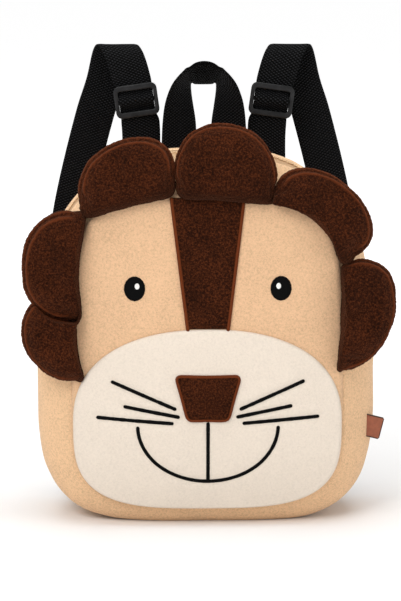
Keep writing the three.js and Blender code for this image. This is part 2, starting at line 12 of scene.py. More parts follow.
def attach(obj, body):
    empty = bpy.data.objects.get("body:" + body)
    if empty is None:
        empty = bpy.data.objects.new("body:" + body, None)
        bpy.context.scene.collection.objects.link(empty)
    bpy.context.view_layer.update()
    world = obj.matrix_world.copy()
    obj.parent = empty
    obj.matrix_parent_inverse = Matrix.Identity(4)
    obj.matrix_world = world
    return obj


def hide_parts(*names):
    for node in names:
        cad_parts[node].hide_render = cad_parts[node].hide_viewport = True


bl_info = {
    "name": "Plush lion backpack",
    "version": (1, 0, 0),
    "blender": (4, 5, 0),
    "location": "View3D > Sidebar > Lion backpack",
    "description": "Makes the cloth, stuffing, stitching and webbing of a small lion backpack",
    "category": "Add Mesh",
}

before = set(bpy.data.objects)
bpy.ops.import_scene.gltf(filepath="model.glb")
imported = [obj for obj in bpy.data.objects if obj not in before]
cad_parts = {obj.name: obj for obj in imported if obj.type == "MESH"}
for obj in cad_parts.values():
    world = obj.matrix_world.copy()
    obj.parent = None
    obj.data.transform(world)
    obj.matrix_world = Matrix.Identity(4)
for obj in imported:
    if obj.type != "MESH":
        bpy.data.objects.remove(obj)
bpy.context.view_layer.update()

MM = 0.001
PHOTO_TALL = 601

# Sizes that the solids are built from, in millimetres
BODY_WIDTH = 256
BODY_HEIGHT = 278
BODY_DEPTH = 90
MIDDLE_Y = 3
SIDE_INSET = 27
TOP_INSET = 29
BOTTOM_INSET = 12
BACK_SHARE = 0.35
SIDE_POWER = 2.2
BASE_POWER = 6
SIDE_WALL = 3
FRONT_WALL = 4
BACK_WALL = 5
FRONT_DOME = 9
BACK_DOME = 3
DOME_POWER = 2.6
WEBBING_WIDTH = 30
WEBBING_THICKNESS = 1.8
FRONT_Y = MIDDLE_Y - BODY_DEPTH / 2
BACK_Y = MIDDLE_Y + BODY_DEPTH / 2
FACE_HALF = BODY_WIDTH / 2 - SIDE_INSET
FACE_HEIGHT = BODY_HEIGHT - TOP_INSET - BOTTOM_INSET
FACE_LEVEL = BOTTOM_INSET + FACE_HEIGHT * 0.283

# Outlines: half width, level of the widest line, top, bottom, and the powers of the two halves
SEAM = dict(half=FACE_HALF, level=FACE_LEVEL, top=BODY_HEIGHT - TOP_INSET, bottom=BOTTOM_INSET,
            up=5.2, down=3.3)
WIDEST = dict(half=BODY_WIDTH / 2, level=113, top=BODY_HEIGHT, bottom=-3, up=2.7, down=3.9)
BACK_TOP = SEAM["top"] + (WIDEST["top"] - SEAM["top"]) * BACK_SHARE

# The face's patches and stitching, as shares of the face's half width and height
STRIPE = [(0.28, 0.995), (-0.28, 0.995), (-0.157, 0.578), (0.157, 0.578)]
STRIPE_EDGE = [(0.265, 0.992), (0.145, 0.575)]
NOSE = [(0.247, 0.439), (-0.247, 0.439), (-0.157, 0.292), (0.157, 0.292)]
EYE_DENT = dict(deep=1.3, reach=12)
EYE = dict(across=0.534, up=0.709, wide=0.0775, tall=0.0385)
SHINE = dict(across=0.516, up=0.717, wide=0.018, tall=0.0098)
WHISKERS = [
    (0.71, 0.419, 0.231, 0.33),
    (0.62, 0.34, 0.206, 0.306),
    (0.82, 0.304, 0.252, 0.286),
]
SMILE = dict(across=0.515, up=0.277, drop=0.177)
SIDES = (("left", -1), ("right", 1))


# Small helpers


def linear(colour):
    """An sRGB hex colour as linear RGB."""
    parts = [int(colour[i:i + 2], 16) / 255 for i in (1, 3, 5)]
    return tuple(c / 12.92 if c <= 0.04045 else ((c + 0.055) / 1.055) ** 2.4 for c in parts)


def smooth(low, high, value):
    """0 below low, 1 above high and an eased step between."""
    share = min(1, max(0, (value - low) / (high - low)))
    return share * share * (3 - 2 * share)


def lumps(x, y, z, size, seed=0.0):
    """Soft unevenness from -1 to 1 with hollows about size millimetres apart."""
    return noise.noise(Vector((x / size + seed, y / size + seed * 1.7, z / size - seed)))


def signed_power(value, power):
    return math.copysign(abs(value) ** power, value)


def lengths_along(points):
    """How far along a path each of its points lies."""
    runs = [0.0]
    for a, b in zip(points, points[1:]):
        runs.append(runs[-1] + (b - a).length)
    return runs


def outline_point(outline, turn, grow=0.0):
    """The point (x, z) of an outline at a turn from 0 to 1, starting at +X and going up."""
    angle = turn * 2 * math.pi
    c, s = math.cos(angle), math.sin(angle)
    power = outline["up"] if s >= 0 else outline["down"]
    reach = outline["top"] - outline["level"] if s >= 0 else outline["level"] - outline["bottom"]
    return (
        (outline["half"] + grow) * signed_power(c, 2 / power),
        outline["level"] + (reach + grow) * signed_power(s, 2 / power),
    )


def outline_share(outline, x, z):
    """How far a point lies from the middle of an outline, 1 on the outline itself."""
    above = z >= outline["level"]
    power = outline["up"] if above else outline["down"]
    reach = outline["top"] - outline["level"] if above else outline["level"] - outline["bottom"]
    return (abs(x / outline["half"]) ** power + abs((z - outline["level"]) / reach) ** power) ** (1 / power)


def side_point(y, turn, grow=0.0):
    """The outside of the side wall, grown outwards."""
    down = max(0, -math.sin(turn * 2 * math.pi))
    power = SIDE_POWER + (BASE_POWER - SIDE_POWER) * down ** 2
    share = (y - MIDDLE_Y) / (BODY_DEPTH / 2)
    lost = 1 if share < 0 else 1 - BACK_SHARE
    out = 1 - lost * min(1, abs(share)) ** power
    near, far = outline_point(SEAM, turn, grow), outline_point(WIDEST, turn, grow)
    return Vector((near[0] + (far[0] - near[0]) * out, y, max(near[1] + (far[1] - near[1]) * out, -grow)))


def face_y(x, z):
    """The front of the face cloth: a dome with the stuffing's slight unevenness, pulled in at the eyes."""
    share = min(1, outline_share(SEAM, x, z))
    uneven = 0.7 * lumps(x, 0, z, 46, 3.1) * (1 - share ** 6)
    away = math.hypot(abs(x) - EYE["across"] * FACE_HALF, z - BOTTOM_INSET - EYE["up"] * FACE_HEIGHT)
    dent = EYE_DENT["deep"] * math.exp(-((away / EYE_DENT["reach"]) ** 2))
    return FRONT_Y - FRONT_WALL - FRONT_DOME * (1 - share ** DOME_POWER) - uneven + dent


def face_x(across):
    return across * FACE_HALF


def face_z(up):
    return BOTTOM_INSET + up * FACE_HEIGHT


# Mesh making


WELD = 0.02


def grid_skin(name, around, rings, place):
    """A piece from a grid wrapped by place(u, v), which gives a point in millimetres, its UV in
    millimetres and a value for its seam attribute, which the materials use for painted highlight and
    painted shade. Edges that meet are welded."""
    bm = bmesh.new()
    uv_layer = bm.loops.layers.uv.new("cloth")
    seam_layer = bm.verts.layers.float.new("seam")
    bmesh.ops.create_grid(bm, x_segments=around, y_segments=rings, size=0.5)
    bm.verts.index_update()
    made = [place(vert.co.x + 0.5, vert.co.y + 0.5) for vert in bm.verts]
    for face in bm.faces:
        for loop in face.loops:
            loop[uv_layer].uv = Vector(made[loop.vert.index][1]) * MM
    for vert, (point, _, seam) in zip(bm.verts, made):
        vert[seam_layer] = seam
        vert.co = Vector(point) * MM
    bmesh.ops.remove_doubles(bm, verts=bm.verts, dist=WELD * MM)
    bmesh.ops.dissolve_degenerate(bm, edges=bm.edges, dist=WELD / 2 * MM)
    holes = [e for e in bm.edges if e.is_boundary]
    if holes:
        bmesh.ops.holes_fill(bm, edges=holes, sides=0)
    bmesh.ops.recalc_face_normals(bm, faces=bm.faces)
    return finish_mesh(name, bm)


def finish_mesh(name, bm):
    """A bmesh as an object with smooth faces, at the origin."""
    for face in bm.faces:
        face.smooth = True
    mesh = bpy.data.meshes.new(name)
    bm.to_mesh(mesh)
    bm.free()
    piece = bpy.data.objects.new(name, mesh)
    bpy.context.scene.collection.objects.link(piece)
    return piece


def settle(piece):
    """Puts the result of a piece's modifiers in its mesh."""
    bpy.context.view_layer.update()
    graph = bpy.context.evaluated_depsgraph_get()
    made = bpy.data.meshes.new_from_object(
        piece.evaluated_get(graph), preserve_all_data_layers=True, depsgraph=graph
    )
    made.name = piece.data.name
    piece.modifiers.clear()
    piece.data = made
    return piece


def subdivided(piece):
    """A piece with its faces divided once and smoothed."""
    finer = piece.modifiers.new("finer", "SUBSURF")
    finer.levels = 1
    finer.render_levels = 1
    return settle(piece)


def dress(piece, slot, material, *nodes, fill=None):
    """Gives a piece its finish, its body and the solids it stands for."""
    piece.data.materials.clear()
    piece.data.materials.append(material)
    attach(piece, "root")
    if nodes:
        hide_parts(*nodes)
    return piece


PLUSH_CLOTH = dict(
    quality=6,
    mass=0.3,
    tension_stiffness=12,
    compression_stiffness=12,
    bending_stiffness=0.4,
    shrink_min=-0.015,
    use_pressure=True,
    vertex_group_mass="pin",
)
SIM_FRAMES = 20


def inflate(pieces, pressure, cap):
    """Blows up closed cloth pieces together, holding their vertex group pin, and caps their movement."""
    before = {}
    for piece in pieces:
        before[piece] = [v.co.copy() for v in piece.data.vertices]
        cloth = piece.modifiers.new("stuffing", "CLOTH")
        for key, value in PLUSH_CLOTH.items():
            setattr(cloth.settings, key, value)
        cloth.settings.uniform_pressure_force = pressure
        cloth.settings.effector_weights.gravity = 0
        cloth.collision_settings.use_collision = False
        cloth.point_cache.frame_start = 1
        cloth.point_cache.frame_end = SIM_FRAMES
    scene = bpy.context.scene
    for step in range(1, SIM_FRAMES + 1):
        scene.frame_set(step)
    for piece in pieces:
        settle(piece)
        for vert, old in zip(piece.data.vertices, before[piece]):
            move = vert.co - old
            if move.length > cap * MM:
                vert.co = old + move * (cap * MM / move.length)
    scene.frame_set(1)


def bvh_of(*pieces):
    """A search tree of the surfaces of some pieces."""
    bm = bmesh.new()
    for piece in pieces:
        bm.from_mesh(piece.data)
    tree = BVHTree.FromBMesh(bm)
    bm.free()
    return tree


# Materials


def add_node(tree, kind, settings=None, **links):
    """A shader node with its settings, and links from sockets or values to its inputs."""
    made = tree.nodes.new("ShaderNode" + kind)
    for key, value in (settings or {}).items():
        setattr(made, key, value)
    for key, value in links.items():
        socket = made.inputs[int(key[1:])] if key[0] == "i" and key[1:].isdigit() else made.inputs[key]
        if isinstance(value, bpy.types.NodeSocket):
            tree.links.new(value, socket)
        else:
            socket.default_value = value
    return made


def maths(tree, operation, *values, clamp=False):
    """The outcome of a maths node."""
    links = {"i%d" % i: value for i, value in enumerate(values)}
    return add_node(tree, "Math", {"operation": operation, "use_clamp": clamp}, **links).outputs[0]


def raise_surface(tree, shader, height, strength, distance):
    """Bumps a material's surface by a height, distance millimetres deep."""
    bump = add_node(tree, "Bump", Strength=strength, Distance=distance * MM, Height=height)
    tree.links.new(bump.outputs[0], shader.inputs["Normal"])


def map_range(tree, value, **ends):
    """A value mapped between ends, named as on the node but with _ for each space."""
    named = {key.replace("_", " "): end for key, end in ends.items()}
    return add_node(tree, "MapRange", Value=value, **named).outputs[0]


def mix_colour(tree, share, one, two):
    """One colour passing over to another by a share."""
    return add_node(tree, "Mix", {"data_type": "RGBA"}, i0=share, i6=one, i7=two).outputs[2]


def object_place(tree):
    return add_node(tree, "TexCoord").outputs["Object"]


def new_material(name, **fixed):
    """A material with a Principled shader whose even values are set on its own sockets."""
    made = bpy.data.materials.new(name)
    made.use_nodes = True
    shader = made.node_tree.nodes["Principled BSDF"]
    for key, value in fixed.items():
        shader.inputs[key.replace("_", " ")].default_value = value
    return made, made.node_tree, shader


def ramp(tree, factor, *stops):
    """Colours along a factor, as (place, colour) pairs."""
    made = add_node(tree, "ValToRGB", Fac=factor)
    elements = made.color_ramp.elements
    while len(elements) < len(stops):
        elements.new(0.5)
    for element, (place, colour) in zip(elements, stops):
        element.position = place
        element.color = (*colour, 1)
    return made.outputs["Color"]


BRUSHED_SHARE = 0.22


def plush(name, colours, pile, speckle, sheen, bump, painted_ridge_highlight, spread_half):
    """Short-pile polyester plush: cut fibres that scatter light, brushed lighter and darker in
    patches, with a soft bright edge where the pile is seen side on. pile is the size of a tuft in
    millimetres, drawn a little coarser than real so that it shows."""
    sheen_weight, sheen_colour = sheen
    made, tree, shader = new_material(
        name,
        Roughness=0.95,
        Specular_IOR_Level=0.06,
        Sheen_Weight=sheen_weight,
        Sheen_Roughness=0.45,
        Sheen_Tint=(*sheen_colour, 1),
    )
    place = object_place(tree)
    tufts = add_node(tree, "TexNoise", Vector=place, Scale=1 / (pile * MM), Detail=3, Roughness=0.65)
    fibres = add_node(tree, "TexNoise", Vector=place, Scale=2.6 / (pile * MM), Detail=2, Roughness=0.7)
    brushed = add_node(tree, "TexNoise", Vector=place, Scale=1 / (26 * MM), Detail=2, Roughness=0.5)
    mixed = maths(tree, "MULTIPLY_ADD", fibres.outputs["Fac"], speckle, tufts.outputs["Fac"])
    spread = maths(tree, "MULTIPLY_ADD", brushed.outputs["Fac"], BRUSHED_SHARE, mixed)
    middle = (1 + speckle + BRUSHED_SHARE) / 2
    shade = map_range(tree, spread, From_Min=middle - spread_half, From_Max=middle + spread_half)
    colour = ramp(tree, shade, *zip((0.0, 0.5, 1.0), colours))
    # Painted light on the mane: the seam attribute lightens each lobe's ridges as a painted highlight and
    # darkens its root and back as painted shade.
    if painted_ridge_highlight:
        seam = add_node(tree, "Attribute", {"attribute_name": "seam"}).outputs["Fac"]
        wear_and_highlight, painted_shade = (maths(tree, "MULTIPLY", seam, k, clamp=True) for k in (0.85, -0.7))
        colour = mix_colour(tree, painted_shade, colour, (*colours[0], 1))
        colour = mix_colour(tree, wear_and_highlight, colour, (*painted_ridge_highlight, 1))
    tree.links.new(colour, shader.inputs["Base Color"])
    raise_surface(tree, shader, mixed, 0.9, bump)
    return made


FLOAT_SLANT = 0.62


def cloth_place(tree):
    """The parts of a piece's own UV map, in metres."""
    uv = add_node(tree, "UVMap", {"uv_map": "cloth"})
    return add_node(tree, "SeparateXYZ", Vector=uv.outputs[0]).outputs


def woven(name, deep, pale, pitch, bump, rough):
    """Woven polyester webbing: floats that cross in a fine herringbone, so that it shows small bars
    slanting both ways. It follows the piece's own UV map, which is in metres. Its seam attribute
    darkens what is turned from the light."""
    made, tree, shader = new_material(name, Roughness=rough, Specular_IOR_Level=0.06)
    across, along, _ = cloth_place(tree)
    turn = 2 * math.pi / (pitch * MM)
    across = maths(tree, "MULTIPLY", across, turn * FLOAT_SLANT)
    waves = [
        maths(tree, "SINE", maths(tree, "MULTIPLY_ADD", along, turn * lean, across)) for lean in (1.0, -1.0)
    ]
    crossed = maths(tree, "MULTIPLY_ADD", waves[1], 0.75, waves[0])
    fuzz = add_node(tree, "TexNoise", Vector=object_place(tree), Scale=1 / (1.4 * MM), Detail=2)
    height = maths(tree, "MULTIPLY_ADD", fuzz.outputs["Fac"], 1.6, crossed)
    shade = map_range(tree, height, From_Min=0.1, From_Max=2.1)
    colour = ramp(tree, shade, (0.0, deep), (0.45, deep), (1.0, pale))
    turned = add_node(tree, "Attribute", {"attribute_name": "seam"})
    colour = mix_colour(tree, turned.outputs["Fac"], colour, (*deep, 1))
    tree.links.new(colour, shader.inputs["Base Color"])
    raise_surface(tree, shader, height, 0.8, bump)
    return made


STITCH_PITCH = 0.75


def satin(name, deep, pale):
    """Satin stitch: rayon threads laid side by side across the stroke, with a silky gloss. It
    follows the piece's UV map, whose second part runs along the stroke."""
    made, tree, shader = new_material(name, Roughness=0.45, Specular_IOR_Level=0.03)
    wobble = add_node(tree, "TexNoise", Vector=object_place(tree), Scale=1 / (2 * MM))
    turn = 2 * math.pi / (STITCH_PITCH * MM)
    along = maths(tree, "MULTIPLY_ADD", cloth_place(tree)[1], turn, wobble.outputs["Fac"])
    thread = maths(tree, "SINE", along)
    shade = map_range(tree, thread, From_Min=-1.0, From_Max=1.0)
    tree.links.new(ramp(tree, shade, (0.0, deep), (1.0, pale)), shader.inputs["Base Color"])
    raise_surface(tree, shader, thread, 0.7, 0.12)
    return made


def moulded(name, colour, rough, bump):
    """Injection-moulded acetal: slightly waxy, with the faint grain of its mould and small rubbed
    places."""
    made, tree, shader = new_material(name, Specular_IOR_Level=0.25)
    place = object_place(tree)
    grain = add_node(tree, "TexNoise", Vector=place, Scale=1 / (0.6 * MM), Detail=2)
    wear_and_highlight = add_node(tree, "TexNoise", Vector=place, Scale=1 / (6 * MM), Detail=3).outputs["Fac"]
    pale = tuple(min(1, c * 1.7 + 0.01) for c in colour)
    tree.links.new(ramp(tree, wear_and_highlight, (0.35, colour), (0.75, pale)), shader.inputs["Base Color"])
    gloss = map_range(tree, wear_and_highlight, To_Min=rough - 0.06, To_Max=rough + 0.12)
    tree.links.new(gloss, shader.inputs["Roughness"])
    raise_surface(tree, shader, grain.outputs["Fac"], 0.4, bump)
    return made


def leather(name, deep, pale):
    """Split cowhide leather, tanned reddish brown: fine pebbled grain and a slightly waxy face."""
    made, tree, shader = new_material(name, Roughness=0.55, Specular_IOR_Level=0.4)
    place = object_place(tree)
    pebbles = add_node(tree, "TexVoronoi", Vector=place, Scale=1 / (0.9 * MM))
    cloud = add_node(tree, "TexNoise", Vector=place, Scale=1 / (4 * MM), Detail=3).outputs["Fac"]
    tree.links.new(ramp(tree, cloud, (0.3, deep), (0.7, pale)), shader.inputs["Base Color"])
    raise_surface(tree, shader, pebbles.outputs["Distance"], 0.5, 0.15)
    return made


def tones(colour, *shares):
    """A colour made darker or lighter, once for each share."""
    return tuple(tuple(min(1, part * share) for part in colour) for share in shares)


def finish(name):
    """The material of that name, made the first time it is asked for."""
    if name in bpy.data.materials:
        return bpy.data.materials[name]
    c = bpy.context.scene.lion_colours
    maker, *values = {
        "tan_short_pile_plush": (
            plush, tones(c.tan, 0.8, 1, 1.1), 1.5, 0.7, (0.2, (1, 0.93, 0.82)), 0.5, None, 0.21),
        # The face's plush again, made a little lighter as painted light for the brighter-lit side and back.
        "tan_side_plush": (
            plush, tones(c.side, 0.8, 1, 1.1), 1.6, 0.7, (0.2, (1, 0.92, 0.82)), 0.5, None, 0.19),
        # The rim colour here is a painted highlight on the mane's ridges.
        "brown_short_pile_plush": (
            plush, tones(c.brown, 0.3, 1, 2.6), 1.5, 0.7, (0.3, (0.36, 0.15, 0.08)), 1.0, tuple(c.rim), 0.17),
        "cream_polar_fleece": (
            plush, tones(c.cream, 0.92, 1, 1.05), 1.7, 0.6, (0.1, (1, 0.97, 0.92)), 0.4, None, 0.25),
        "black_rayon_satin_stitch": (satin, (0.001, 0.001, 0.001), (0.006, 0.006, 0.006)),
        "white_rayon_satin_stitch": (satin, (0.75, 0.74, 0.7), (0.95, 0.94, 0.91)),
        "brown_rayon_satin_stitch": (satin, *tones(c.rim, 0.75, 1.35)),
        "black_polyester_webbing": (woven, (0.001, 0.001, 0.001), (0.022, 0.022, 0.024), 2.3, 0.5, 0.65),
        "tan_polyester_zip_tape": (woven, *tones(c.side, 0.75, 1), 1.2, 0.2, 0.8),
        "tan_nylon_coil": (moulded, *tones(c.side, 0.85), 0.4, 0.05),
        "black_moulded_acetal": (moulded, (0.006, 0.006, 0.0065), 0.38, 0.05),
        "tan_split_leather": (leather, *tones(c.leather, 0.75, 1)),
        "burnt_leather_edge": (leather, (0.03, 0.012, 0.006), (0.06, 0.025, 0.012)),
    }[name]
    return maker(name, *values)


# Bag body


def cloth_shell(name, profile, around, place):
    """A closed padded cloth from a profile of rows; place(row, turn) gives the point."""
    last = len(profile) - 1

    def wrap(u, v):
        row = profile[round(v * last)]
        point = place(row, u % 1)
        return point, (u * 700, v * 200), 0.0

    return grid_skin(name, around, last, wrap)


def eased(count, high=1.0):
    """Shares from 0 to high that crowd together at the high end."""
    return [high * math.sin(i / count * math.pi / 2) for i in range(count + 1)]


def pucker(turn, distance, reach=9.0):
    """The small gathers beside a sewn seam, fading out over reach millimetres."""
    waves = math.sin(turn * 2 * math.pi * 61) + 0.7 * math.sin(turn * 2 * math.pi * 97 + 1.3)
    patchy = 0.5 + 0.5 * noise.noise(Vector((turn * 23, 0.3, 1.7)))
    return 0.22 * waves * patchy * math.exp(-((distance / reach) ** 2))


def rolled_panel(name, around, fine, edge, roll, hidden, rim_at, depths):
    """A closed cloth panel whose edge rolls over: fine rows on its seen side, roll rows round its edge
    from the share edge outwards, and rows at the shares hidden on its other side. rim_at(turn) gives
    its outline, and depths(x, z, share, turn) the y of its seen side, its seam, its hidden side, and
    what the seam's gathers add."""
    profile = [("seen", s) for s in eased(fine, edge)]
    profile += [("roll", i / roll) for i in range(1, roll + 1)]
    profile += [("hidden", s) for s in hidden]

    def place(row, turn):
        kind, value = row
        bend = value * math.pi / 2 if kind == "roll" else 0
        share = edge + (1 - edge) * math.sin(bend) if kind == "roll" else value
        rim_x, rim_z = rim_at(turn)
        x = rim_x * share
        z = FACE_LEVEL + (rim_z - FACE_LEVEL) * share
        seen, seam, rear, gathers = depths(x, z, share, turn)
        y = rear if kind == "hidden" else seen + (seam - seen) * (1 - math.cos(bend)) + gathers
        return Vector((x, y, max(z, 0.3)))

    return cloth_shell(name, profile, around, place)


def face_cloth():
    """The front of the bag: a padded panel whose edge rolls in to the seam."""
    def depths(x, z, share, turn):
        y, seam = face_y(x, z), FRONT_Y - 0.2
        gathers = pucker(turn, (1 - share) * FACE_HALF, 7)
        return y, seam, min(y + FRONT_WALL - 0.3, seam), -gathers

    hidden = (0.97, 0.9, 0.75, 0.5, 0.25, 0)
    return rolled_panel(
        "face_cloth", 192, 34, 0.955, 8, hidden, lambda turn: outline_point(SEAM, turn), depths)


# The zip's place: how deep it lies, half its tape's width, the turn of the crown's top and how far
# the coil and its channel reach to each side of it
ZIP_MIDDLE = MIDDLE_Y - 8
ZIP_HALF = 9.0
CROWN_TOP = 0.25
COIL_HALF = 0.146
TAPE_HALF = 0.15
TEETH = 150
CHANNEL = 1.6
CHANNEL_FOLD = 0.8


def side_uneven(point, turn, y):
    """Soft hollows and swells of the stuffed side wall, none at its seams."""
    middle = 1 - ((y - MIDDLE_Y) / (BODY_DEPTH / 2)) ** 4
    swell = 1.5 * lumps(point.x, y, point.z, 52, 7.3) + 0.5 * lumps(point.x, y, point.z, 17, 2.1)
    return swell * middle


def side_surface(y, turn, grow=0.0):
    """The outside of the side cloth, with its unevenness, its seam gathers and the zip's channel."""
    base = side_point(y, turn, grow)
    probe = side_point(y, turn, grow + 1)
    out = probe - base
    out.y = 0
    if out.length < 1e-6:
        out = Vector((0, 0, -1))
    out.normalize()
    push = side_uneven(base, turn, y)
    push += pucker(turn, y - FRONT_Y) + pucker(turn + 0.37, BACK_Y - y)
    crown = smooth(0.17, 0.145, abs(turn - CROWN_TOP))
    channel = smooth(ZIP_HALF + 3.5, ZIP_HALF, abs(y - ZIP_MIDDLE)) * crown
    fold = math.exp(-(((abs(y - ZIP_MIDDLE) - ZIP_HALF - 5) / 2.2) ** 2)) * crown
    push += CHANNEL_FOLD * fold - CHANNEL * channel
    point = base + out * push
    if base.z <= 0.01 - grow or point.z < -grow:
        point.z = max(-grow, min(base.z, point.z))
    return point


def side_cloth():
    """The stuffed wall between the face and the back, all the way round."""
    rows = 44
    start = FRONT_Y + 0.3
    outside = [(start + (BACK_Y - start) * i / rows, 0) for i in range(rows + 1)]
    inside = [(start + (BACK_Y - start) * i / 10, 1) for i in range(10, -1, -1)]
    profile = outside + inside + [outside[0]]

    def place(row, turn):
        y, inner = row
        if inner:
            return side_point(y, turn, -SIDE_WALL - 1.5)
        return side_surface(y, turn)

    return cloth_shell("side_cloth", profile, 208, place)


def back_cloth():
    """The plain padded back."""
    def depths(x, z, share, turn):
        uneven = 0.5 * lumps(x, 9, z, 40, 5.5) * (1 - share ** 6)
        y = BACK_Y + BACK_WALL + BACK_DOME * (1 - share ** DOME_POWER) + uneven
        seam = BACK_Y + 0.3
        gathers = pucker(turn + 0.2, (1 - share) * FACE_HALF, 7)
        return y, seam, max(y - BACK_WALL + 0.6, seam), gathers

    return rolled_panel(
        "back_cloth", 160, 26, 0.96, 7, (0.97, 0.8, 0.4, 0), lambda turn: side_point(BACK_Y, turn).xz, depths)


# Patches and stitching on the face

MUZZLE = dict(half=FACE_HALF - 1, level=FACE_LEVEL, top=face_z(0.582), bottom=BOTTOM_INSET + 1,
              up=2.3, down=3.3)
PATCH_GAP = 0.4
MUZZLE_THICK = 2.5
DRAWN_IN = dict(deep=0.75, reach=3.2)
PUFFED_OUT = dict(high=0.3, away=6, reach=3)


def segment_distance(x, z, start, end):
    """How far a flat point lies from a line between two others."""
    run = end - start
    share = min(1, max(0, (Vector((x, z)) - start).dot(run) / run.length_squared))
    return (Vector((x, z)) - start - run * share).length


def stroke_distance(x, z):
    """How far a flat point lies from the nearest whisker or from the mouth."""
    mirrored = abs(x)
    near = min(
        segment_distance(mirrored, z, Vector((face_x(c), face_z(d))), Vector((face_x(a), face_z(b))))
        for a, b, c, d in WHISKERS
    )
    half, drop = face_x(SMILE["across"]), SMILE["drop"] * FACE_HEIGHT
    low = min(0, z - face_z(SMILE["up"]))
    round_share = math.hypot(x / half, low / drop)
    if z > face_z(SMILE["up"]):
        mouth = math.hypot(mirrored - half, z - face_z(SMILE["up"]))
    else:
        mouth = abs(round_share - 1) * math.hypot(x, low) / max(0.05, round_share)
    line = segment_distance(x, z, Vector((0, face_z(0.292))), Vector((0, face_z(SMILE["up"]) - drop)))
    return min(near, mouth, line)


def muzzle_front(x, z):
    """The front of the muzzle's fleece away from its edge, drawn in along the stitched lines."""
    away = stroke_distance(x, z)
    drawn = DRAWN_IN["deep"] * math.exp(-((away / DRAWN_IN["reach"]) ** 2))
    puffed = PUFFED_OUT["high"] * math.exp(-(((away - PUFFED_OUT["away"]) / PUFFED_OUT["reach"]) ** 2))
    return face_y(x, z) - PATCH_GAP - MUZZLE_THICK + 0.3 * lumps(x, 4, z, 21, 1.1) + drawn - puffed


def muzzle():
    """Fleece laid on the face, its edge turned under and rolled down to the cloth."""
    def depths(x, z, share, turn):
        rear = face_y(x, z) - 0.15
        return muzzle_front(x, z), rear, rear, 0

    hidden = (0.98, 0.8, 0.4, 0)
    return rolled_panel(
        "muzzle_fleece", 176, 30, 0.972, 7, hidden, lambda turn: outline_point(MUZZLE, turn), depths)


def rounded_corners(corners, rounding, step):
    """Points along a rounded polygon of (across, up) shares, about step millimetres apart."""
    points = []
    count = len(corners)
    flat = [Vector((face_x(a), face_z(b))) for a, b in corners]
    for i, here in enumerate(flat):
        ahead = flat[(i + 1) % count] - here
        behind = flat[i - 1] - here
        start = here + behind.normalized() * rounding
        end = here + ahead.normalized() * rounding
        for k in range(5):
            t = k / 4
            points.append(start * (1 - t) ** 2 + here * 2 * t * (1 - t) + end * t ** 2)
        run = ahead.length - 2 * rounding
        steps = max(2, round(run / step))
        points += [end + ahead.normalized() * run * k / steps for k in range(1, steps)]
    return points


def patch(name, points, rear, thickness, inset):
    """A plush patch inside an edge of points, laid on a surface."""
    middle = sum(points, Vector((0, 0))) / len(points)
    edge = [p + (middle - p).normalized() * inset for p in points]
    rings = 12
    shares = eased(rings) + [0.97, 0.5, 0]
    last = len(shares) - 1

    def wrap(u, v):
        ring = round(v * last)
        rim = edge[round(u * len(edge)) % len(edge)]
        flat = middle + (rim - middle) * shares[ring]
        back = rear(flat.x, flat.y) - 0.1
        rise = thickness * math.sqrt(max(0, 1 - shares[ring] ** 10)) if ring <= rings else 0
        y = back - rise - (0.2 * lumps(flat.x, 2, flat.y, 9, 4.0) if ring < rings else 0)
        return Vector((flat.x, y, flat.y)), (flat.x, flat.y), 0.0

    return grid_skin(name, len(edge), last, wrap)


def stroke(name, points, width, height, rear, closed=False, ragged=0.08):
    """A raised band of satin stitch along flat points, round at its open ends."""
    count = len(points)
    loop = points + [points[0]] if closed else points
    runs = lengths_along(loop)
    total = runs[-1]
    last = len(loop) - 1

    def wrap(u, v):
        at = round(v * last)
        here = loop[at]
        if closed:
            before, after = points[(at - 1) % count], points[(at + 1) % count]
        else:
            before, after = loop[max(0, at - 1)], loop[min(last, at + 1)]
        run = (after - before).normalized()
        across = Vector((-run.y, run.x))
        half = width / 2
        if not closed:
            tail = min(runs[at], total - runs[at])
            half *= math.sqrt(max(0, 1 - (1 - min(1, tail / half)) ** 2))
        half *= 1 + ragged * noise.noise(Vector((runs[at] * 0.9, here.x * 0.2, here.y * 0.2)))
        turn = u * 2 * math.pi
        flat = here + across * half * math.cos(turn)
        rise = math.sin(turn) * height * (half / (width / 2)) ** 0.5
        y = rear(flat.x, flat.y) - 0.1 - max(0, rise)
        return Vector((flat.x, y, flat.y)), (u * width * 2, runs[at]), 0.0

    return grid_skin(name, 16, last, wrap)


def capped(points, width):
    """A path with evenly spaced points, and more of them at its two ends, which are drawn round."""
    total = lengths_along(points)[-1]
    ends = [0.0, 0.02, 0.08, 0.18, 0.32, 0.5]

    def at(length):
        for a, b in zip(points, points[1:]):
            step = (b - a).length
            if length <= step:
                return a.lerp(b, length / step)
            length -= step
        return points[-1]

    inner = max(2, round((total - width) / 1.6))
    lengths = [width * e for e in ends]
    lengths += [width / 2 + (total - width) * k / inner for k in range(1, inner)]
    lengths += [total - width * e for e in reversed(ends)]
    return [at(length) for length in lengths]


def stitched_oval(name, oval, side, rear, height):
    """A domed oval of satin stitch."""
    x0, z0 = side * face_x(oval["across"]), face_z(oval["up"])
    half_x, half_z = face_x(oval["wide"]), oval["tall"] * FACE_HEIGHT
    shares = eased(8) + [0.9, 0]
    last = len(shares) - 1

    def wrap(u, v):
        ring = round(v * last)
        turn = u * 2 * math.pi
        share = shares[ring] * (1 + 0.012 * math.sin(turn * 31) * (ring == 8))
        x = x0 + half_x * math.cos(turn) * share
        z = z0 + half_z * math.sin(turn) * share
        rise = height * math.sqrt(max(0, 1 - shares[ring] ** 2.6)) if ring <= 8 else 0
        return Vector((x, rear(x, z) - 0.1 - rise, z)), (z, x), 0.0

    return grid_skin(name, 48, last, wrap)


# Mane

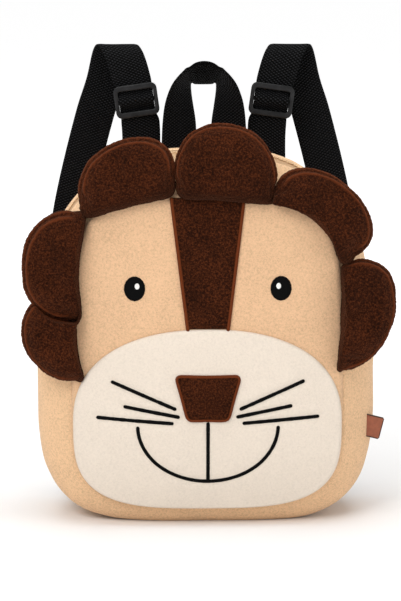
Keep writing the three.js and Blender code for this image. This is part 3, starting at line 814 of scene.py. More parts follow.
LOBE_WIDE = 78
LOBE_REACH = 30
LOBE_ROOT = 15.5
LOBE_THICK = 34
LOBE_FORWARD = 3
LOBES = [
    dict(name="mane_top", at=83, out=86, beyond=0.38, wide=0.95, reach=1.32, root=1.16,
         skew=0.09, hollow=0.1, inset=2.2),
    dict(name="mane_upper_left", at=119, out=104, beyond=0.4, wide=0.92, reach=0.99, root=1.36,
         skew=-0.19, hollow=0.14, inset=4.1),
    dict(name="mane_upper_right", at=47.7, out=50, beyond=0, wide=1.04, reach=0.92, root=1.55,
         skew=-0.06, hollow=1.11, inset=4),
    dict(name="mane_right", at=24.5, out=-2, beyond=0.11, wide=1.04, reach=1.16, root=0.46,
         skew=0.28, hollow=0.17, inset=2.6),
    dict(name="mane_left", at=145.5, out=177, beyond=0.14, wide=1.04, reach=1.17, root=0.8,
         skew=0, hollow=0.38, inset=4.6),
    dict(name="mane_lower_left", at=159.4, out=182, beyond=0.01, wide=0.83, reach=1.17, root=0.69,
         skew=-0.15, hollow=0.42, inset=2.6),
]
TIP_POWER = 2.15
ROOT_POWER = 7
EDGE_POWER = 0.75
NEIGHBOURS = ((0, 1), (0, 2), (1, 4), (2, 3))
TUCKED = ((4, 5),)
FULLER = 1.02
PINNED = 0.6
RIDGE_FRONT = dict(high=0.7, wide=0.05)
RIDGE_REAR = dict(high=0.5, wide=0.07)
GROOVE = dict(deep=0.8, wide=0.06)
CREASE = dict(gap=0.05, soft=0.3, reach=6)
TUCK = 1.01


def lobe_axes(row):
    """A lobe's middle, and its outward and sideways directions, in millimetres."""
    at, out = math.radians(row["at"]), math.radians(row["out"])
    x, z = math.cos(at) * SEAM["half"], math.sin(at) * (SEAM["top"] - SEAM["level"])
    share = outline_share(SEAM, x, SEAM["level"] + z)
    place = Vector((x / share, z / share))
    place = place * (1 + row["beyond"] * LOBE_REACH / place.length)
    middle = Vector((place.x, FRONT_Y - LOBE_FORWARD, SEAM["level"] + place.y))
    outward = Vector((math.cos(out), 0, math.sin(out)))
    sideways = Vector((-math.sin(out), 0, math.cos(out)))
    return middle, outward, sideways


def lobe_place(row, point):
    """Where a point in millimetres lies sideways and outward of a lobe's middle."""
    middle, outward, sideways = lobe_axes(row)
    return (point - middle).dot(sideways), (point - middle).dot(outward)


def lobe_root(row, across):
    """How far a lobe's root lies in from its widest line, at a share of its half width."""
    return LOBE_ROOT * (row["root"] - row["hollow"] * max(0, 1 - across ** 2))


def lobe_outline(row, count, shrink=0.0):
    """Evenly spaced points (sideways, outward) of a lobe seen from the front."""
    half = row["wide"] * LOBE_WIDE / 2 - shrink
    fine = []
    for k in range(1441):
        angle = k / 1440 * 2 * math.pi
        c, s = math.cos(angle), math.sin(angle)
        power = TIP_POWER if s >= 0 else ROOT_POWER
        across = signed_power(c, 2 / power)
        reach = row["reach"] * LOBE_REACH - shrink if s >= 0 else lobe_root(row, across)
        ahead = reach * signed_power(s, 2 / power)
        fine.append(Vector((half * across + row["skew"] * ahead, ahead)))
    runs = lengths_along(fine)
    made, at = [], 0
    for k in range(count):
        while runs[at + 1] < runs[-1] * k / count:
            at += 1
        share = (runs[-1] * k / count - runs[at]) / max(1e-9, runs[at + 1] - runs[at])
        made.append(fine[at].lerp(fine[at + 1], share))
    return made


def lobe_share(row, x, z):
    """How far a point lies from the middle of a lobe seen from the front, 1 on its outline."""
    a, b = lobe_place(row, Vector((x, 0, z)))
    across = (a - row["skew"] * b) / (row["wide"] * LOBE_WIDE / 2)
    power = TIP_POWER if b >= 0 else ROOT_POWER
    reach = row["reach"] * LOBE_REACH if b >= 0 else lobe_root(row, across)
    return (abs(across) ** power + abs(b / reach) ** power) ** (1 / power)


LEANS = [-90, -74, -60, -48, -37, -28, -20, -13, -7] + [2 * k - 3 for k in range(24)] + [50, 57, 66, 77, 90]


def lobe(row, shrink):
    """One stuffed lobe, not yet filled: a front and a back of plush sewn to a narrow band. Its seam
    attribute holds how far each vertex leans from the rim to the front, and its pin group the root."""
    middle, outward, sideways = lobe_axes(row)
    around = 96
    rim = lobe_outline(row, around, shrink)
    last = len(LEANS) - 1

    def wrap(u, v):
        lean = math.radians(LEANS[round(v * last)])
        share = abs(math.cos(lean)) ** EDGE_POWER
        a, b = rim[round(u * around) % around] * share
        depth = -math.sin(lean) * (LOBE_THICK / 2 - shrink)
        return middle + sideways * a + outward * b + Vector((0, depth, 0)), (a, b), lean

    piece = grid_skin(row["name"] + "_plush", around, last, wrap)
    pin = piece.vertex_groups.new(name="pin")
    for vert in piece.data.vertices:
        a, b = lobe_place(row, vert.co / MM)
        if b < -PINNED * lobe_root(row, a / (row["wide"] * LOBE_WIDE / 2)):
            pin.add([vert.index], 1.0, "REPLACE")
    return piece


def refit(piece, row):
    """Scales a filled lobe back to its pattern's width, reach and thickness."""
    middle, outward, sideways = lobe_axes(row)
    pattern = [middle + sideways * a + outward * b for a, b in lobe_outline(row, 360)]
    pattern += [middle + Vector((0, k * LOBE_THICK / 2, 0)) for k in (-1, 1)]
    for axis, both in ((sideways, True), (outward, False), (Vector((0, 1, 0)), True)):
        wanted = [(point - middle).dot(axis) for point in pattern]
        local = [(vert.co / MM - middle).dot(axis) for vert in piece.data.vertices]
        for vert, at in zip(piece.data.vertices, local):
            if at > 0:
                vert.co += axis * at * (FULLER * max(wanted) / max(local) - 1) * MM
            elif both:
                vert.co += axis * at * (FULLER * min(wanted) / min(local) - 1) * MM


def seam_ridges(piece, row, sizes):
    """Draws the two sewn ridges and the groove between them round a lobe's outer edge, and the
    unevenness of its pile. Its seam attribute then holds a painted highlight on the ridges and
    painted shade towards the root and over the back."""
    seam = piece.data.attributes["seam"]
    normals = [v.normal.copy() for v in piece.data.vertices]
    half = row["wide"] * LOBE_WIDE / 2
    front_lean = math.acos((1 - row["inset"] / half) ** (1 / EDGE_POWER))
    rear_lean = front_lean - sizes.band
    for vert, normal in zip(piece.data.vertices, normals):
        lean = seam.data[vert.index].value
        b = lobe_place(row, vert.co / MM)[1]
        free = smooth(-5, 5, b)
        front = math.exp(-(((lean - front_lean) / RIDGE_FRONT["wide"]) ** 2))
        rear = math.exp(-(((lean - rear_lean) / RIDGE_REAR["wide"]) ** 2))
        groove = math.exp(-(((lean - (front_lean + rear_lean) / 2) / GROOVE["wide"]) ** 2))
        ridges = RIDGE_FRONT["high"] * front + RIDGE_REAR["high"] * rear - GROOVE["deep"] * groove
        swell = 0.9 * noise.noise(vert.co / (15 * MM) + Vector((row["at"], 0, 0)))
        pile = 0.45 * noise.noise(vert.co / (1.7 * MM)) + 0.3 * noise.noise(vert.co / (0.9 * MM))
        vert.co += normal * (ridges * free + pile + swell) * MM
        # Painted shade: darker towards the lobe's root against the face and over its back; the ridges get a
        # painted highlight.
        painted_shade = smooth(0.15, 1.0, -b / LOBE_ROOT / row["root"]) + 0.7 * smooth(-0.1, -0.7, lean)
        seam.data[vert.index].value = min(1, (front + 0.8 * rear) * free) - min(1, painted_shade)


def lie_on(piece, tree, gap):
    """Presses what lies behind the front of the bag forward on to it."""
    for vert in piece.data.vertices:
        hit = tree.ray_cast(Vector((vert.co.x, -0.3, vert.co.z)), Vector((0, 1, 0)))[0]
        if hit and vert.co.y > hit.y - gap * MM:
            vert.co.y = hit.y - gap * MM


def press_together(pieces):
    """Flattens neighbouring lobes against each other along the line where their outlines cross."""
    for one, two in NEIGHBOURS:
        rows = LOBES[one], LOBES[two]
        middle, outward, sideways = lobe_axes(rows[0])
        rim = [middle + sideways * a + outward * b for a, b in lobe_outline(rows[0], 360)]
        inside = [lobe_share(rows[1], p.x, p.z) < 1 for p in rim]
        ends = [rim[k] for k in range(360) if inside[k] != inside[k - 1]]
        if len(ends) < 2:
            continue
        along = (ends[1] - ends[0]).normalized()
        across = Vector((along.z, 0, -along.x))
        if (middle - ends[0]).dot(across) < 0:
            across = -across
        for index, normal in ((one, across), (two, -across)):
            for vert in pieces[index].data.vertices:
                clear = (vert.co / MM - ends[0]).dot(normal)
                if clear < CREASE["reach"]:
                    bend = math.log1p(math.exp(clear / CREASE["soft"]))
                    soft = CREASE["gap"] + CREASE["soft"] * bend
                    vert.co += normal * (max(soft, clear) - clear) * MM
    for over, under in TUCKED:
        row = LOBES[over]
        middle = lobe_axes(row)[0]
        for vert in pieces[under].data.vertices:
            at = vert.co / MM
            share = lobe_share(row, at.x, at.z)
            if share < TUCK:
                away = Vector((at.x - middle.x, 0, at.z - middle.z)) * (TUCK / max(0.3, share) - 1)
                vert.co += away * MM


# Webbing


def curve_point(points, share):
    """A point on the smooth centripetal curve through points, at a share of its parameter."""
    last = len(points) - 1
    place = share * last
    i = min(last - 1, int(place))
    w = place - i
    b, c = points[i], points[i + 1]
    a = points[i - 1] if i > 0 else b * 2 - c
    d = points[i + 2] if i + 2 <= last else c * 2 - b
    d0, d1, d2 = ((q - p).length ** 0.5 for p, q in ((a, b), (b, c), (c, d)))
    d1 = d1 if d1 > 1e-4 else 1
    d0 = d0 if d0 > 1e-4 else d1
    d2 = d2 if d2 > 1e-4 else d1
    t1 = ((b - a) / d0 - (c - a) / (d0 + d1) + (c - b) / d1) * d1
    t2 = ((c - b) / d1 - (d - b) / (d1 + d2) + (d - c) / d2) * d1
    return b + t1 * w + (c * 3 - b * 3 - t1 * 2 - t2) * w * w + (b * 2 - c * 2 + t1 + t2) * w ** 3


def webbing(name, stations, thickness, wave=0.25, turned=()):
    """A woven strap through stations of (middle, across), with rounded woven edges. turned holds the
    share of each station that faces away from the light."""
    last = len(stations) - 1
    runs = lengths_along([middle for middle, _ in stations])
    flat = 12
    section = [(face * (2 * i / flat - 1), face) for face in (1, -1) for i in range(flat + 1)]
    count = len(section)

    def wrap(u, v):
        at = round(v * last)
        middle, across = stations[at]
        before, after = stations[max(0, at - 1)][0], stations[min(last, at + 1)][0]
        normal = (after - before).cross(across).normalized()
        side, face = section[round(u * count) % count]
        wide = across.length / 2
        lip = 1 - 0.45 * smooth(0.9, 1.0, abs(side))
        edge = side * (wide - (0 if abs(side) < 1 else 0.25))
        swell = wave * lumps(runs[at], edge, 3 * face, 19, 8.8)
        point = middle + across.normalized() * edge + normal * (face * thickness / 2 * lip + swell)
        return point, (edge, runs[at]), turned[at] if turned else 0.0

    return grid_skin(name, count, last, wrap)


HANDLE_SPAN = 66
HANDLE_RISE = 83
HANDLE_ROWS = [
    (1.0, -0.06, 0.17, -0.06), (0.97, 0.4, 0.18, 0.4), (0.915, 0.58, 0.24, 0.56),
    (0.845, 0.68, 0.28, 0.66), (0.727, 0.785, 0.3, 0.74), (0.56, 0.87, 0.29, 0.768),
    (0.375, 0.935, 0.24, 0.772), (0.2, 0.985, 0.12, 0.772), (0, 1, 0, 0.772),
]


def handle():
    """The carry loop: two legs that face the front and a band that turns edge-on over the top."""
    def whole(column):
        half = [Vector((r[column] * HANDLE_SPAN / 2, 0, BACK_TOP + r[column + 1] * HANDLE_RISE))
                for r in HANDLE_ROWS]
        return half + [Vector((-p.x, 0, p.z)) for p in reversed(half[:-1])]

    outer, inner = whole(0), whole(2)
    steps = 150
    stations = []
    turned = []
    for i in range(steps + 1):
        a, b = curve_point(outer, i / steps), curve_point(inner, i / steps)
        flat = (a - b).length
        deep = math.sqrt(max(0, WEBBING_WIDTH ** 2 - flat ** 2))
        middle = (a + b) / 2
        middle.y = BACK_Y + WEBBING_THICKNESS
        across = b - a
        across.y = deep
        band = smooth(11.5, 10, abs(middle.x))
        fold = math.exp(-(((abs(middle.x) - 10.5) / 1.2) ** 2))
        middle.z += 0.7 * fold - 0.9 * band
        stations.append((middle, across))
        turned.append(band)
    return webbing("carry_loop_webbing", stations, WEBBING_THICKNESS, 0.25, turned)


STRAP_RISE = 93.5
STRAP_SPREAD = 60
STRAP_BOW = 36
STRAP_TOP = BACK_TOP + STRAP_RISE
STRAP_ROOT = HANDLE_SPAN / 2 + WEBBING_WIDTH / 2 + 0.3
STRAP_Y = BACK_Y + WEBBING_THICKNESS
STRAP_ROWS = [
    (0, 0.7175, 0, 8), (0.005, 0.8297, 0, 8), (0.058, 0.8814, 0, 8), (0.167, 0.9568, 0, 10),
    (0.233, 0.986, 0.08, 6), (0.3, 1, 0.24, 0), (0.36, 0.986, 0.42, -7), (0.458, 0.918, 0.5, -12),
    (0.592, 0.8475, 0.56, -13), (0.908, 0.624, 0.67, -13), (1.0, 0.48, 0.92, -6),
    (0.98, 0.339, 1, 0), (0.9, 0.198, 0.75, 5), (0.76, 0.085, 0.28, 8), (0.68, 0.045, 0, 8),
]
SLIDER_ROW = 2
SLIDER_HEIGHT = 25
SLIDER_THICK = 2.8
SLIDER_BAR = 4.4
SLIDER_SIDE = 3.2
SLIDER_MIDDLE = 3.4
SLIDER_OPENING = 27.0
STRAP_WEAVE = 5.4
THREAD_GAP = 0.5


def strap_points(side):
    return [
        Vector((side * (STRAP_ROOT + out * STRAP_SPREAD), STRAP_Y + behind * STRAP_BOW, up * STRAP_TOP))
        for out, up, behind, _ in STRAP_ROWS
    ]


def strap_tilt(share):
    place = share * (len(STRAP_ROWS) - 1)
    at = min(len(STRAP_ROWS) - 2, int(place))
    low, high = STRAP_ROWS[at][3], STRAP_ROWS[at + 1][3]
    return math.radians(low + (high - low) * (place - at))


def strap(side, word):
    """A shoulder strap, up through its slider, over and down to the bag's lower corner."""
    points = strap_points(side)
    fine = 1400
    track = [curve_point(points, i / fine) for i in range(fine + 1)]
    lengths = lengths_along(track)
    slider_share = SLIDER_ROW / (len(STRAP_ROWS) - 1)
    slider_at = lengths[round(slider_share * fine)]
    slider_place = points[SLIDER_ROW]
    slider_tilt = -side * strap_tilt(slider_share)
    level = Vector((math.cos(slider_tilt), 0, math.sin(slider_tilt)))
    reach = SLIDER_HEIGHT / 2 - SLIDER_BAR
    stations = []
    due = 0.0
    for i in range(fine + 1):
        if lengths[i] < due and i < fine:
            continue
        away = abs(lengths[i] - slider_at)
        due = lengths[i] + (1.2 if away < SLIDER_HEIGHT / 2 else 2.6)
        share = i / fine
        tilt = -side * strap_tilt(share)
        weave = min(1, away / reach) * math.pi / 2
        middle = track[i].copy()
        middle.y -= STRAP_WEAVE * math.cos(weave) ** 2
        held = smooth(SLIDER_HEIGHT / 2 + 5, SLIDER_HEIGHT / 2 - 3, away)
        middle -= level * (track[i] - slider_place).dot(level) * held
        narrow = (WEBBING_WIDTH - SLIDER_OPENING - 0.3) * held
        across = Vector((math.cos(tilt), 0, math.sin(tilt))) * (WEBBING_WIDTH - narrow)
        stations.append((middle, across))
    return webbing("strap_webbing_" + word, stations, WEBBING_THICKNESS, 0.3)


def rounded_box(bm, size, rounding, matrix, steps=4):
    """Adds a box with rounded edges to a mesh."""
    made = bmesh.ops.create_cube(bm, size=1.0, matrix=Matrix.Diagonal((*size, 1)))
    edges = {e for v in made["verts"] for e in v.link_edges}
    bent = bmesh.ops.bevel(
        bm, geom=list(edges), offset=rounding, offset_type="OFFSET", affect="EDGES",
        segments=steps, profile=0.5, material=-1, clamp_overlap=True,
    )
    verts = {v for v in made["verts"] if v.is_valid} | {v for f in bent["faces"] for v in f.verts}
    verts |= {v for f in bent["faces"] for e in f.edges for g in e.link_faces for v in g.verts}
    bmesh.ops.transform(bm, matrix=matrix, verts=list(verts))


def corner_loop(half_x, half_z, radius, steps=6):
    """Points (x, z) round a rectangle with round corners."""
    return [
        (cx * (half_x - radius) + radius * math.cos(angle), cz * (half_z - radius) + radius * math.sin(angle))
        for quarter, (cx, cz) in enumerate(((1, 1), (-1, 1), (-1, -1), (1, -1)))
        for angle in (math.pi / 2 * (quarter + k / (steps - 1)) for k in range(steps))
    ]


def slider(side, word):
    """A three-bar slider: a moulded frame with rounded bars and a thinner centre bar behind."""
    opening = SLIDER_OPENING
    wide = opening + 2 * SLIDER_SIDE
    share = SLIDER_ROW / (len(STRAP_ROWS) - 1)
    place = curve_point(strap_points(side), share)
    tilt = -side * strap_tilt(share)
    forward = (SLIDER_THICK + WEBBING_THICKNESS) / 2 + THREAD_GAP
    turned = Matrix.Translation(place - Vector((0, forward, 0))) @ Matrix.Rotation(-tilt, 4, "Y")
    outline = corner_loop(wide / 2, SLIDER_HEIGHT / 2, 4.6)
    window = corner_loop(opening / 2, SLIDER_HEIGHT / 2 - SLIDER_BAR, 1.8)
    count = len(outline)

    def wrap(u, v):
        at = round(u * count) % count
        angle = v * 2 * math.pi
        out = (1 + signed_power(math.cos(angle), 0.45)) / 2
        deep = signed_power(math.sin(angle), 0.45) * SLIDER_THICK / 2
        x, z = (w + (o - w) * out for o, w in zip(outline[at], window[at]))
        return turned @ Vector((x, deep, z)), (x, z), 0.0

    piece = grid_skin("strap_slider_" + word, count, 28, wrap)
    bar_thick = SLIDER_THICK * 0.7
    bm = bmesh.new()
    bm.from_mesh(piece.data)
    rounded_box(
        bm, (opening + 1.5, bar_thick, SLIDER_MIDDLE), 0.8,
        Matrix.Scale(MM, 4) @ turned @ Matrix.Translation((0, (SLIDER_THICK - bar_thick) / 2, 0)),
    )
    for face in bm.faces:
        face.smooth = True
    bm.to_mesh(piece.data)
    bm.free()
    return piece


# Zip and tag


def zip_tape(lift, thick, across=6):
    """The zip's tape, which follows the bag's crown."""
    y_low, y_high = ZIP_MIDDLE - ZIP_HALF - 1, ZIP_MIDDLE + ZIP_HALF + 1

    def wrap(u, v):
        turn = CROWN_TOP + TAPE_HALF * (2 * v - 1)
        loop = u * (2 * across)
        face = 1 if loop <= across else -1
        share = loop / across if face == 1 else 2 - loop / across
        y = y_low + (y_high - y_low) * share
        at = side_surface(y, turn)
        out = (side_point(y, turn, 1) - side_point(y, turn)).normalized()
        point = at + out * (lift + face * thick / 2)
        return point, (y, v * 330), 0.0

    return grid_skin("zip_tape_cloth", 2 * across, TEETH, wrap)


def zip_coil():
    """The closed coil: two rows of small teeth that meet along the middle of the tape."""
    bm = bmesh.new()
    for k in range(TEETH):
        turn = CROWN_TOP + COIL_HALF * (2 * k / (TEETH - 1) - 1)
        at = side_surface(ZIP_MIDDLE, turn)
        ahead = side_surface(ZIP_MIDDLE, turn + 0.002) - side_surface(ZIP_MIDDLE, turn - 0.002)
        run = ahead.normalized()
        out = run.cross(Vector((0, 1, 0)))
        out = out if out.z > 0 else -out
        side = 1 if k % 2 else -1
        basis = Matrix((run, Vector((0, 1, 0)), out)).transposed().to_4x4()
        centre = at + out * 0.95 + Vector((0, 1.0 * side, 0))
        rounded_box(bm, (1.25, 3.2, 1.1), 0.3, Matrix.Translation(centre) @ basis, 1)
    bmesh.ops.transform(bm, matrix=Matrix.Scale(MM, 4), verts=bm.verts)
    return finish_mesh("zip_coil", bm)


TAG_WIDE = 22
TAG_TALL = 17
TAG_THICK = 1.6
TAG_PLACE = (121.2, -20, 70.3)


def side_tag():
    """A bare leather tag folded over and sewn in the right side: its face, and its two cut edges
    burnished dark."""
    place = Matrix.Translation(TAG_PLACE) @ Matrix.Rotation(math.radians(14), 4, "Y")
    made = []
    for name, size, shift in (
        ("tag_leather", (TAG_WIDE, TAG_THICK, TAG_TALL - 1.6), 0),
        ("tag_edge_top", (TAG_WIDE, TAG_THICK + 0.1, 0.8), TAG_TALL / 2 - 0.4),
        ("tag_edge_bottom", (TAG_WIDE, TAG_THICK + 0.1, 0.8), 0.4 - TAG_TALL / 2),
        ("tag_fold", (0.7, TAG_THICK + 0.1, TAG_TALL - 1.6), None),
    ):
        bm = bmesh.new()
        offset = (TAG_WIDE / 2 + 0.3, 0, 0) if shift is None else (0, 0, shift)
        rounded_box(bm, size, 0.3, place @ Matrix.Translation(offset), 2)
        bmesh.ops.transform(bm, matrix=Matrix.Scale(MM, 4), verts=bm.verts)
        made.append(finish_mesh(name, bm))
    return made


# Settings that a user may change


class LionSizes(bpy.types.PropertyGroup):
    """Sizes that a user may change."""

    fill: FloatProperty(
        name="Mane pressure", description="How hard the mane's lobes are stuffed", default=3.0, min=0, max=8)
    cap: FloatProperty(
        name="Most swelling", description="How far the cloth of a lobe may move, in millimetres",
        default=3.5, min=0, max=12)
    band: FloatProperty(
        name="Rim band", description="Width of the band between a lobe's two seams, as a turn of its edge",
        default=0.33, subtype="ANGLE")
    stroke: FloatProperty(
        name="Stroke", description="Width of the stitched whiskers and mouth, in millimetres", default=2.7,
        min=0.5, max=6)


class LionColours(bpy.types.PropertyGroup):
    """Colours that a user may change, as linear colours."""

    tan: FloatVectorProperty(
        name="Face", description="Plush of the face", subtype="COLOR", default=linear("#dcb48e"))
    side: FloatVectorProperty(
        # Lighter than the face's plush: painted light for the brighter-lit side and back.
        name="Side", description="Plush of the side and back", subtype="COLOR", default=linear("#e6be95"))
    brown: FloatVectorProperty(
        name="Mane", description="Plush of the mane and stripe", subtype="COLOR", default=linear("#331608"))
    # The stitched edges' own thread colour, also used as a painted highlight on the mane's ridges.
    rim: FloatVectorProperty(
        name="Seam thread and ridge highlight", description="Ridges of the mane and edges of the patches", subtype="COLOR",
        default=linear("#643018"))
    cream: FloatVectorProperty(
        name="Muzzle", description="Fleece of the muzzle", subtype="COLOR", default=linear("#e0d3c4"))
    leather: FloatVectorProperty(
        name="Tag", description="Leather of the tag", subtype="COLOR", default=linear("#98553a"))


# Operators


class LION_OT_body(bpy.types.Operator):
    """Makes the face, the stuffed side wall and the back"""

    bl_idname = "lion.body"
    bl_label = "Bag body"

    def execute(self, context):
        dress(face_cloth(), "tan_plush", finish("tan_short_pile_plush"), "front_panel", fill=0.5)
        dress(side_cloth(), "tan_plush", finish("tan_side_plush"), "gusset", fill=0.6)
        dress(back_cloth(), "tan_plush", finish("tan_side_plush"), "back_panel", fill=0.5)
        return {"FINISHED"}


class LION_OT_patches(bpy.types.Operator):
    """Makes the muzzle, the forehead stripe and the nose with their stitched edges"""

    bl_idname = "lion.patches"
    bl_label = "Face patches"

    def execute(self, context):
        dress(muzzle(), "cream_fleece", finish("cream_polar_fleece"), "muzzle", fill=0.3)
        brown, thread = finish("brown_short_pile_plush"), finish("brown_rayon_satin_stitch")
        edge = rounded_corners(STRIPE, 1.5, 2.0)
        rear = lambda x, z: face_y(x, z) - 0.1
        dress(patch("stripe_plush", edge, rear, 2.0, 1.2), "brown_plush", brown, "forehead_stripe")
        for word, side in SIDES:
            points = capped([Vector((side * face_x(a), face_z(b))) for a, b in STRIPE_EDGE], 2.6)
            dress(stroke("stripe_edge_" + word, points, 2.8, 2.3, rear), "brown_plush", thread)
        edge = rounded_corners(NOSE, 4.5, 1.6)
        on_muzzle = lambda x, z: muzzle_front(x, z) + 0.1
        dress(patch("nose_plush", edge, on_muzzle, 1.8, 1.0), "brown_plush", brown, "nose")
        middle = sum(edge, Vector((0, 0))) / len(edge)
        inner = [p + (middle - p).normalized() * 1.1 for p in edge]
        dress(stroke("nose_edge", inner, 2.4, 2.0, on_muzzle, closed=True), "brown_plush", thread)
        return {"FINISHED"}


class LION_OT_stitching(bpy.types.Operator):
    """Makes the eyes, whiskers and mouth in satin stitch"""

    bl_idname = "lion.stitching"
    bl_label = "Face stitching"

    def execute(self, context):
        wide = context.scene.lion_sizes.stroke
        black, white = finish("black_rayon_satin_stitch"), finish("white_rayon_satin_stitch")
        on_eye = lambda x, z: face_y(x, z) - 1.25
        for word, side in SIDES:
            dress(stitched_oval("eye_thread_" + word, EYE, side, face_y, 1.5),
                  "black_thread", black, "eye_" + word)
            dress(stitched_oval("eye_glint_" + word, SHINE, side, on_eye, 0.7),
                  "white_thread", white, "eye_shine_" + word)
            for i, (out_a, out_u, in_a, in_u) in enumerate(WHISKERS, 1):
                path = capped([
                    Vector((side * face_x(in_a), face_z(in_u))),
                    Vector((side * face_x(out_a), face_z(out_u))),
                ], wide)
                dress(stroke("whisker_thread_%s_%d" % (word, i), path, wide, 1.0, muzzle_front, ragged=0.14),
                      "black_thread", black, "whisker_%s_%d" % (word, i))
        half, top, drop = face_x(SMILE["across"]), face_z(SMILE["up"]), SMILE["drop"] * FACE_HEIGHT
        turns = [math.pi * (1 + k / 60) for k in range(61)]
        arc = capped([Vector((half * math.cos(t), top + drop * math.sin(t))) for t in turns], wide)
        dress(stroke("smile_thread", arc, wide, 1.0, muzzle_front), "black_thread", black, "mouth")
        line = capped([Vector((0, face_z(NOSE[2][1]) - 0.2)), Vector((0, top - drop))], wide)
        dress(stroke("lip_thread", line, wide, 1.05, muzzle_front), "black_thread", black)
        return {"FINISHED"}


class LION_OT_mane(bpy.types.Operator):
    """Makes the six stuffed lobes of the mane"""

    bl_idname = "lion.mane"
    bl_label = "Mane"

    def execute(self, context):
        sizes = context.scene.lion_sizes
        made = [lobe(row, 1.5) for row in LOBES]
        inflate(made, sizes.fill, sizes.cap)
        bag = bvh_of(bpy.data.objects["side_cloth"], bpy.data.objects["face_cloth"])
        for row, piece in zip(LOBES, made):
            refit(piece, row)
            subdivided(piece)
        press_together(made)
        for row, piece in zip(LOBES, made):
            seam_ridges(piece, row, sizes)
            lie_on(piece, bag, 0.3)
            dress(piece, "brown_plush", finish("brown_short_pile_plush"), row["name"], fill=0.8)
        return {"FINISHED"}


class LION_OT_webbing(bpy.types.Operator):
    """Makes the carry loop, the two shoulder straps and their sliders"""

    bl_idname = "lion.webbing"
    bl_label = "Webbing"

    def execute(self, context):
        black, plastic = finish("black_polyester_webbing"), finish("black_moulded_acetal")
        dress(handle(), "black_webbing", black, "carry_handle")
        for word, side in SIDES:
            dress(strap(side, word), "black_webbing", black, "strap_" + word)
            dress(slider(side, word), "black_plastic", plastic, "slider_" + word)
        return {"FINISHED"}


class LION_OT_zip(bpy.types.Operator):
    """Makes the zip in the crown and dresses its pull"""

    bl_idname = "lion.zip"
    bl_label = "Zip"

    def execute(self, context):
        dress(zip_tape(0.1, 0.6), "zip_tape", finish("tan_polyester_zip_tape"), "zip")
        dress(zip_coil(), "zip_tape", finish("tan_nylon_coil"))
        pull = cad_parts["zip_pull"]
        pull.data.materials.clear()
        pull.data.materials.append(finish("tan_nylon_coil"))
        return {"FINISHED"}


class LION_OT_tag(bpy.types.Operator):
    """Dresses the leather tag"""

    bl_idname = "lion.tag"
    bl_label = "Side tag"

    def execute(self, context):
        face, *edges = side_tag()
        dress(face, "tan_leather", finish("tan_split_leather"), "side_tag")
        for edge in edges:
            dress(edge, "tan_leather", finish("burnt_leather_edge"))
        return {"FINISHED"}


# The name, place, size in metres and watts of each soft light
SOFTBOXES = (
    ("key_softbox", (-0.9, -1.5, 1.5), 1.0, 22),
    ("fill_softbox", (1.4, -1.0, 0.8), 1.2, 5.5),
    ("top_softbox", (0.0, 0.1, 1.8), 1.6, 22),
)
FLOOR_HALF = 14
CAMERA = dict(aim=(-0.004, 0, 0.163), away=1.9, raised=9, turned=-1.6, metres_a_pixel=0.000757)


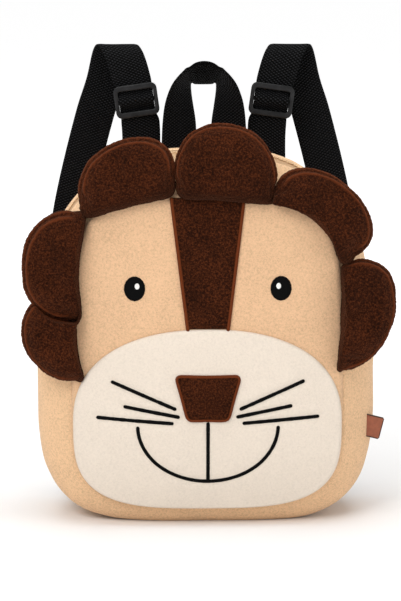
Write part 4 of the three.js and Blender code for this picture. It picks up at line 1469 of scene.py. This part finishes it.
class LION_OT_stage(bpy.types.Operator):
    """Makes the pale floor, the soft lights and the camera at the photograph's angle"""

    bl_idname = "lion.stage"
    bl_label = "Stage"

    def execute(self, context):
        scene = context.scene
        bm = bmesh.new()
        bmesh.ops.create_grid(bm, x_segments=1, y_segments=1, size=FLOOR_HALF)
        floor = finish_mesh("floor", bm)
        made, tree, shader = new_material("white_matt_paper", Roughness=0.9, Specular_IOR_Level=0.1)
        shader.inputs["Base Color"].default_value = (0.93, 0.93, 0.93, 1)
        shader.inputs["Emission Color"].default_value = (1, 1, 1, 1)
        # Painted light: the floor glows, faintly beside the bag and more farther off, so it reads white away
        # from the bag and darker round its base as a painted shadow.
        away = add_node(tree, "VectorMath", {"operation": "LENGTH"}, Vector=object_place(tree))
        glow = map_range(tree, away.outputs["Value"], From_Min=0.14, From_Max=1.6, To_Min=0.01, To_Max=0.62)
        tree.links.new(glow, shader.inputs["Emission Strength"])
        floor.data.materials.append(made)

        world = bpy.data.worlds.new("soft_studio")
        world.use_nodes = True
        tree = world.node_tree
        dim = tree.nodes["Background"]
        dim.inputs["Color"].default_value = (1, 1, 1, 1)
        dim.inputs["Strength"].default_value = 0.4
        seen = add_node(tree, "Background", Color=(1, 1, 1, 1), Strength=1.0)
        both = add_node(
            tree, "MixShader", i0=add_node(tree, "LightPath").outputs["Is Camera Ray"],
            i1=dim.outputs[0], i2=seen.outputs[0],
        )
        tree.links.new(both.outputs[0], tree.nodes["World Output"].inputs["Surface"])
        scene.world = world
        scene.view_settings.view_transform = "Standard"

        for name, place, size, power in SOFTBOXES:
            data = bpy.data.lights.new(name, "AREA")
            data.size = size
            data.energy = power
            lamp = bpy.data.objects.new(name, data)
            lamp.location = place
            lamp.rotation_euler = (Vector((0, 0, 0.15)) - Vector(place)).to_track_quat("-Z", "Y").to_euler()
            scene.collection.objects.link(lamp)

        tall, turn = math.radians(CAMERA["raised"]), math.radians(CAMERA["turned"])
        back = Vector((math.sin(turn) * math.cos(tall), -math.cos(turn) * math.cos(tall), math.sin(tall)))
        data = bpy.data.cameras.new("photo_camera")
        data.sensor_width = 36
        data.lens = CAMERA["away"] / CAMERA["metres_a_pixel"] * data.sensor_width / PHOTO_TALL
        data.clip_end = 50
        camera = bpy.data.objects.new("photo_camera", data)
        camera.location = Vector(CAMERA["aim"]) + back * CAMERA["away"]
        camera.rotation_euler = (-back).to_track_quat("-Z", "Y").to_euler()
        scene.collection.objects.link(camera)
        scene.camera = camera
        return {"FINISHED"}


class LION_PT_panel(bpy.types.Panel):
    """Lists the steps that dress the bag."""

    bl_idname = "LION_PT_panel"
    bl_label = "Lion backpack"
    bl_space_type = "VIEW_3D"
    bl_region_type = "UI"
    bl_category = "Lion backpack"

    def draw(self, context):
        for group in (context.scene.lion_sizes, context.scene.lion_colours):
            for key in group.bl_rna.properties.keys():
                if key not in {"rna_type", "name"}:
                    self.layout.prop(group, key)
        for made in OPERATORS:
            self.layout.operator(made.bl_idname)


OPERATORS = (
    LION_OT_body,
    LION_OT_patches,
    LION_OT_stitching,
    LION_OT_mane,
    LION_OT_webbing,
    LION_OT_zip,
    LION_OT_tag,
    LION_OT_stage,
)
CLASSES = (LionSizes, LionColours, *OPERATORS, LION_PT_panel)


def register():
    for made in CLASSES:
        bpy.utils.register_class(made)
    bpy.types.Scene.lion_sizes = PointerProperty(type=LionSizes)
    bpy.types.Scene.lion_colours = PointerProperty(type=LionColours)


def unregister():
    del bpy.types.Scene.lion_colours
    del bpy.types.Scene.lion_sizes
    for made in reversed(CLASSES):
        bpy.utils.unregister_class(made)


def main():
    register()
    bpy.ops.lion.body()
    bpy.ops.lion.patches()
    bpy.ops.lion.stitching()
    bpy.ops.lion.mane()
    bpy.ops.lion.webbing()
    bpy.ops.lion.zip()
    bpy.ops.lion.tag()
    bpy.ops.lion.stage()


if __name__ == "__main__":
    main()
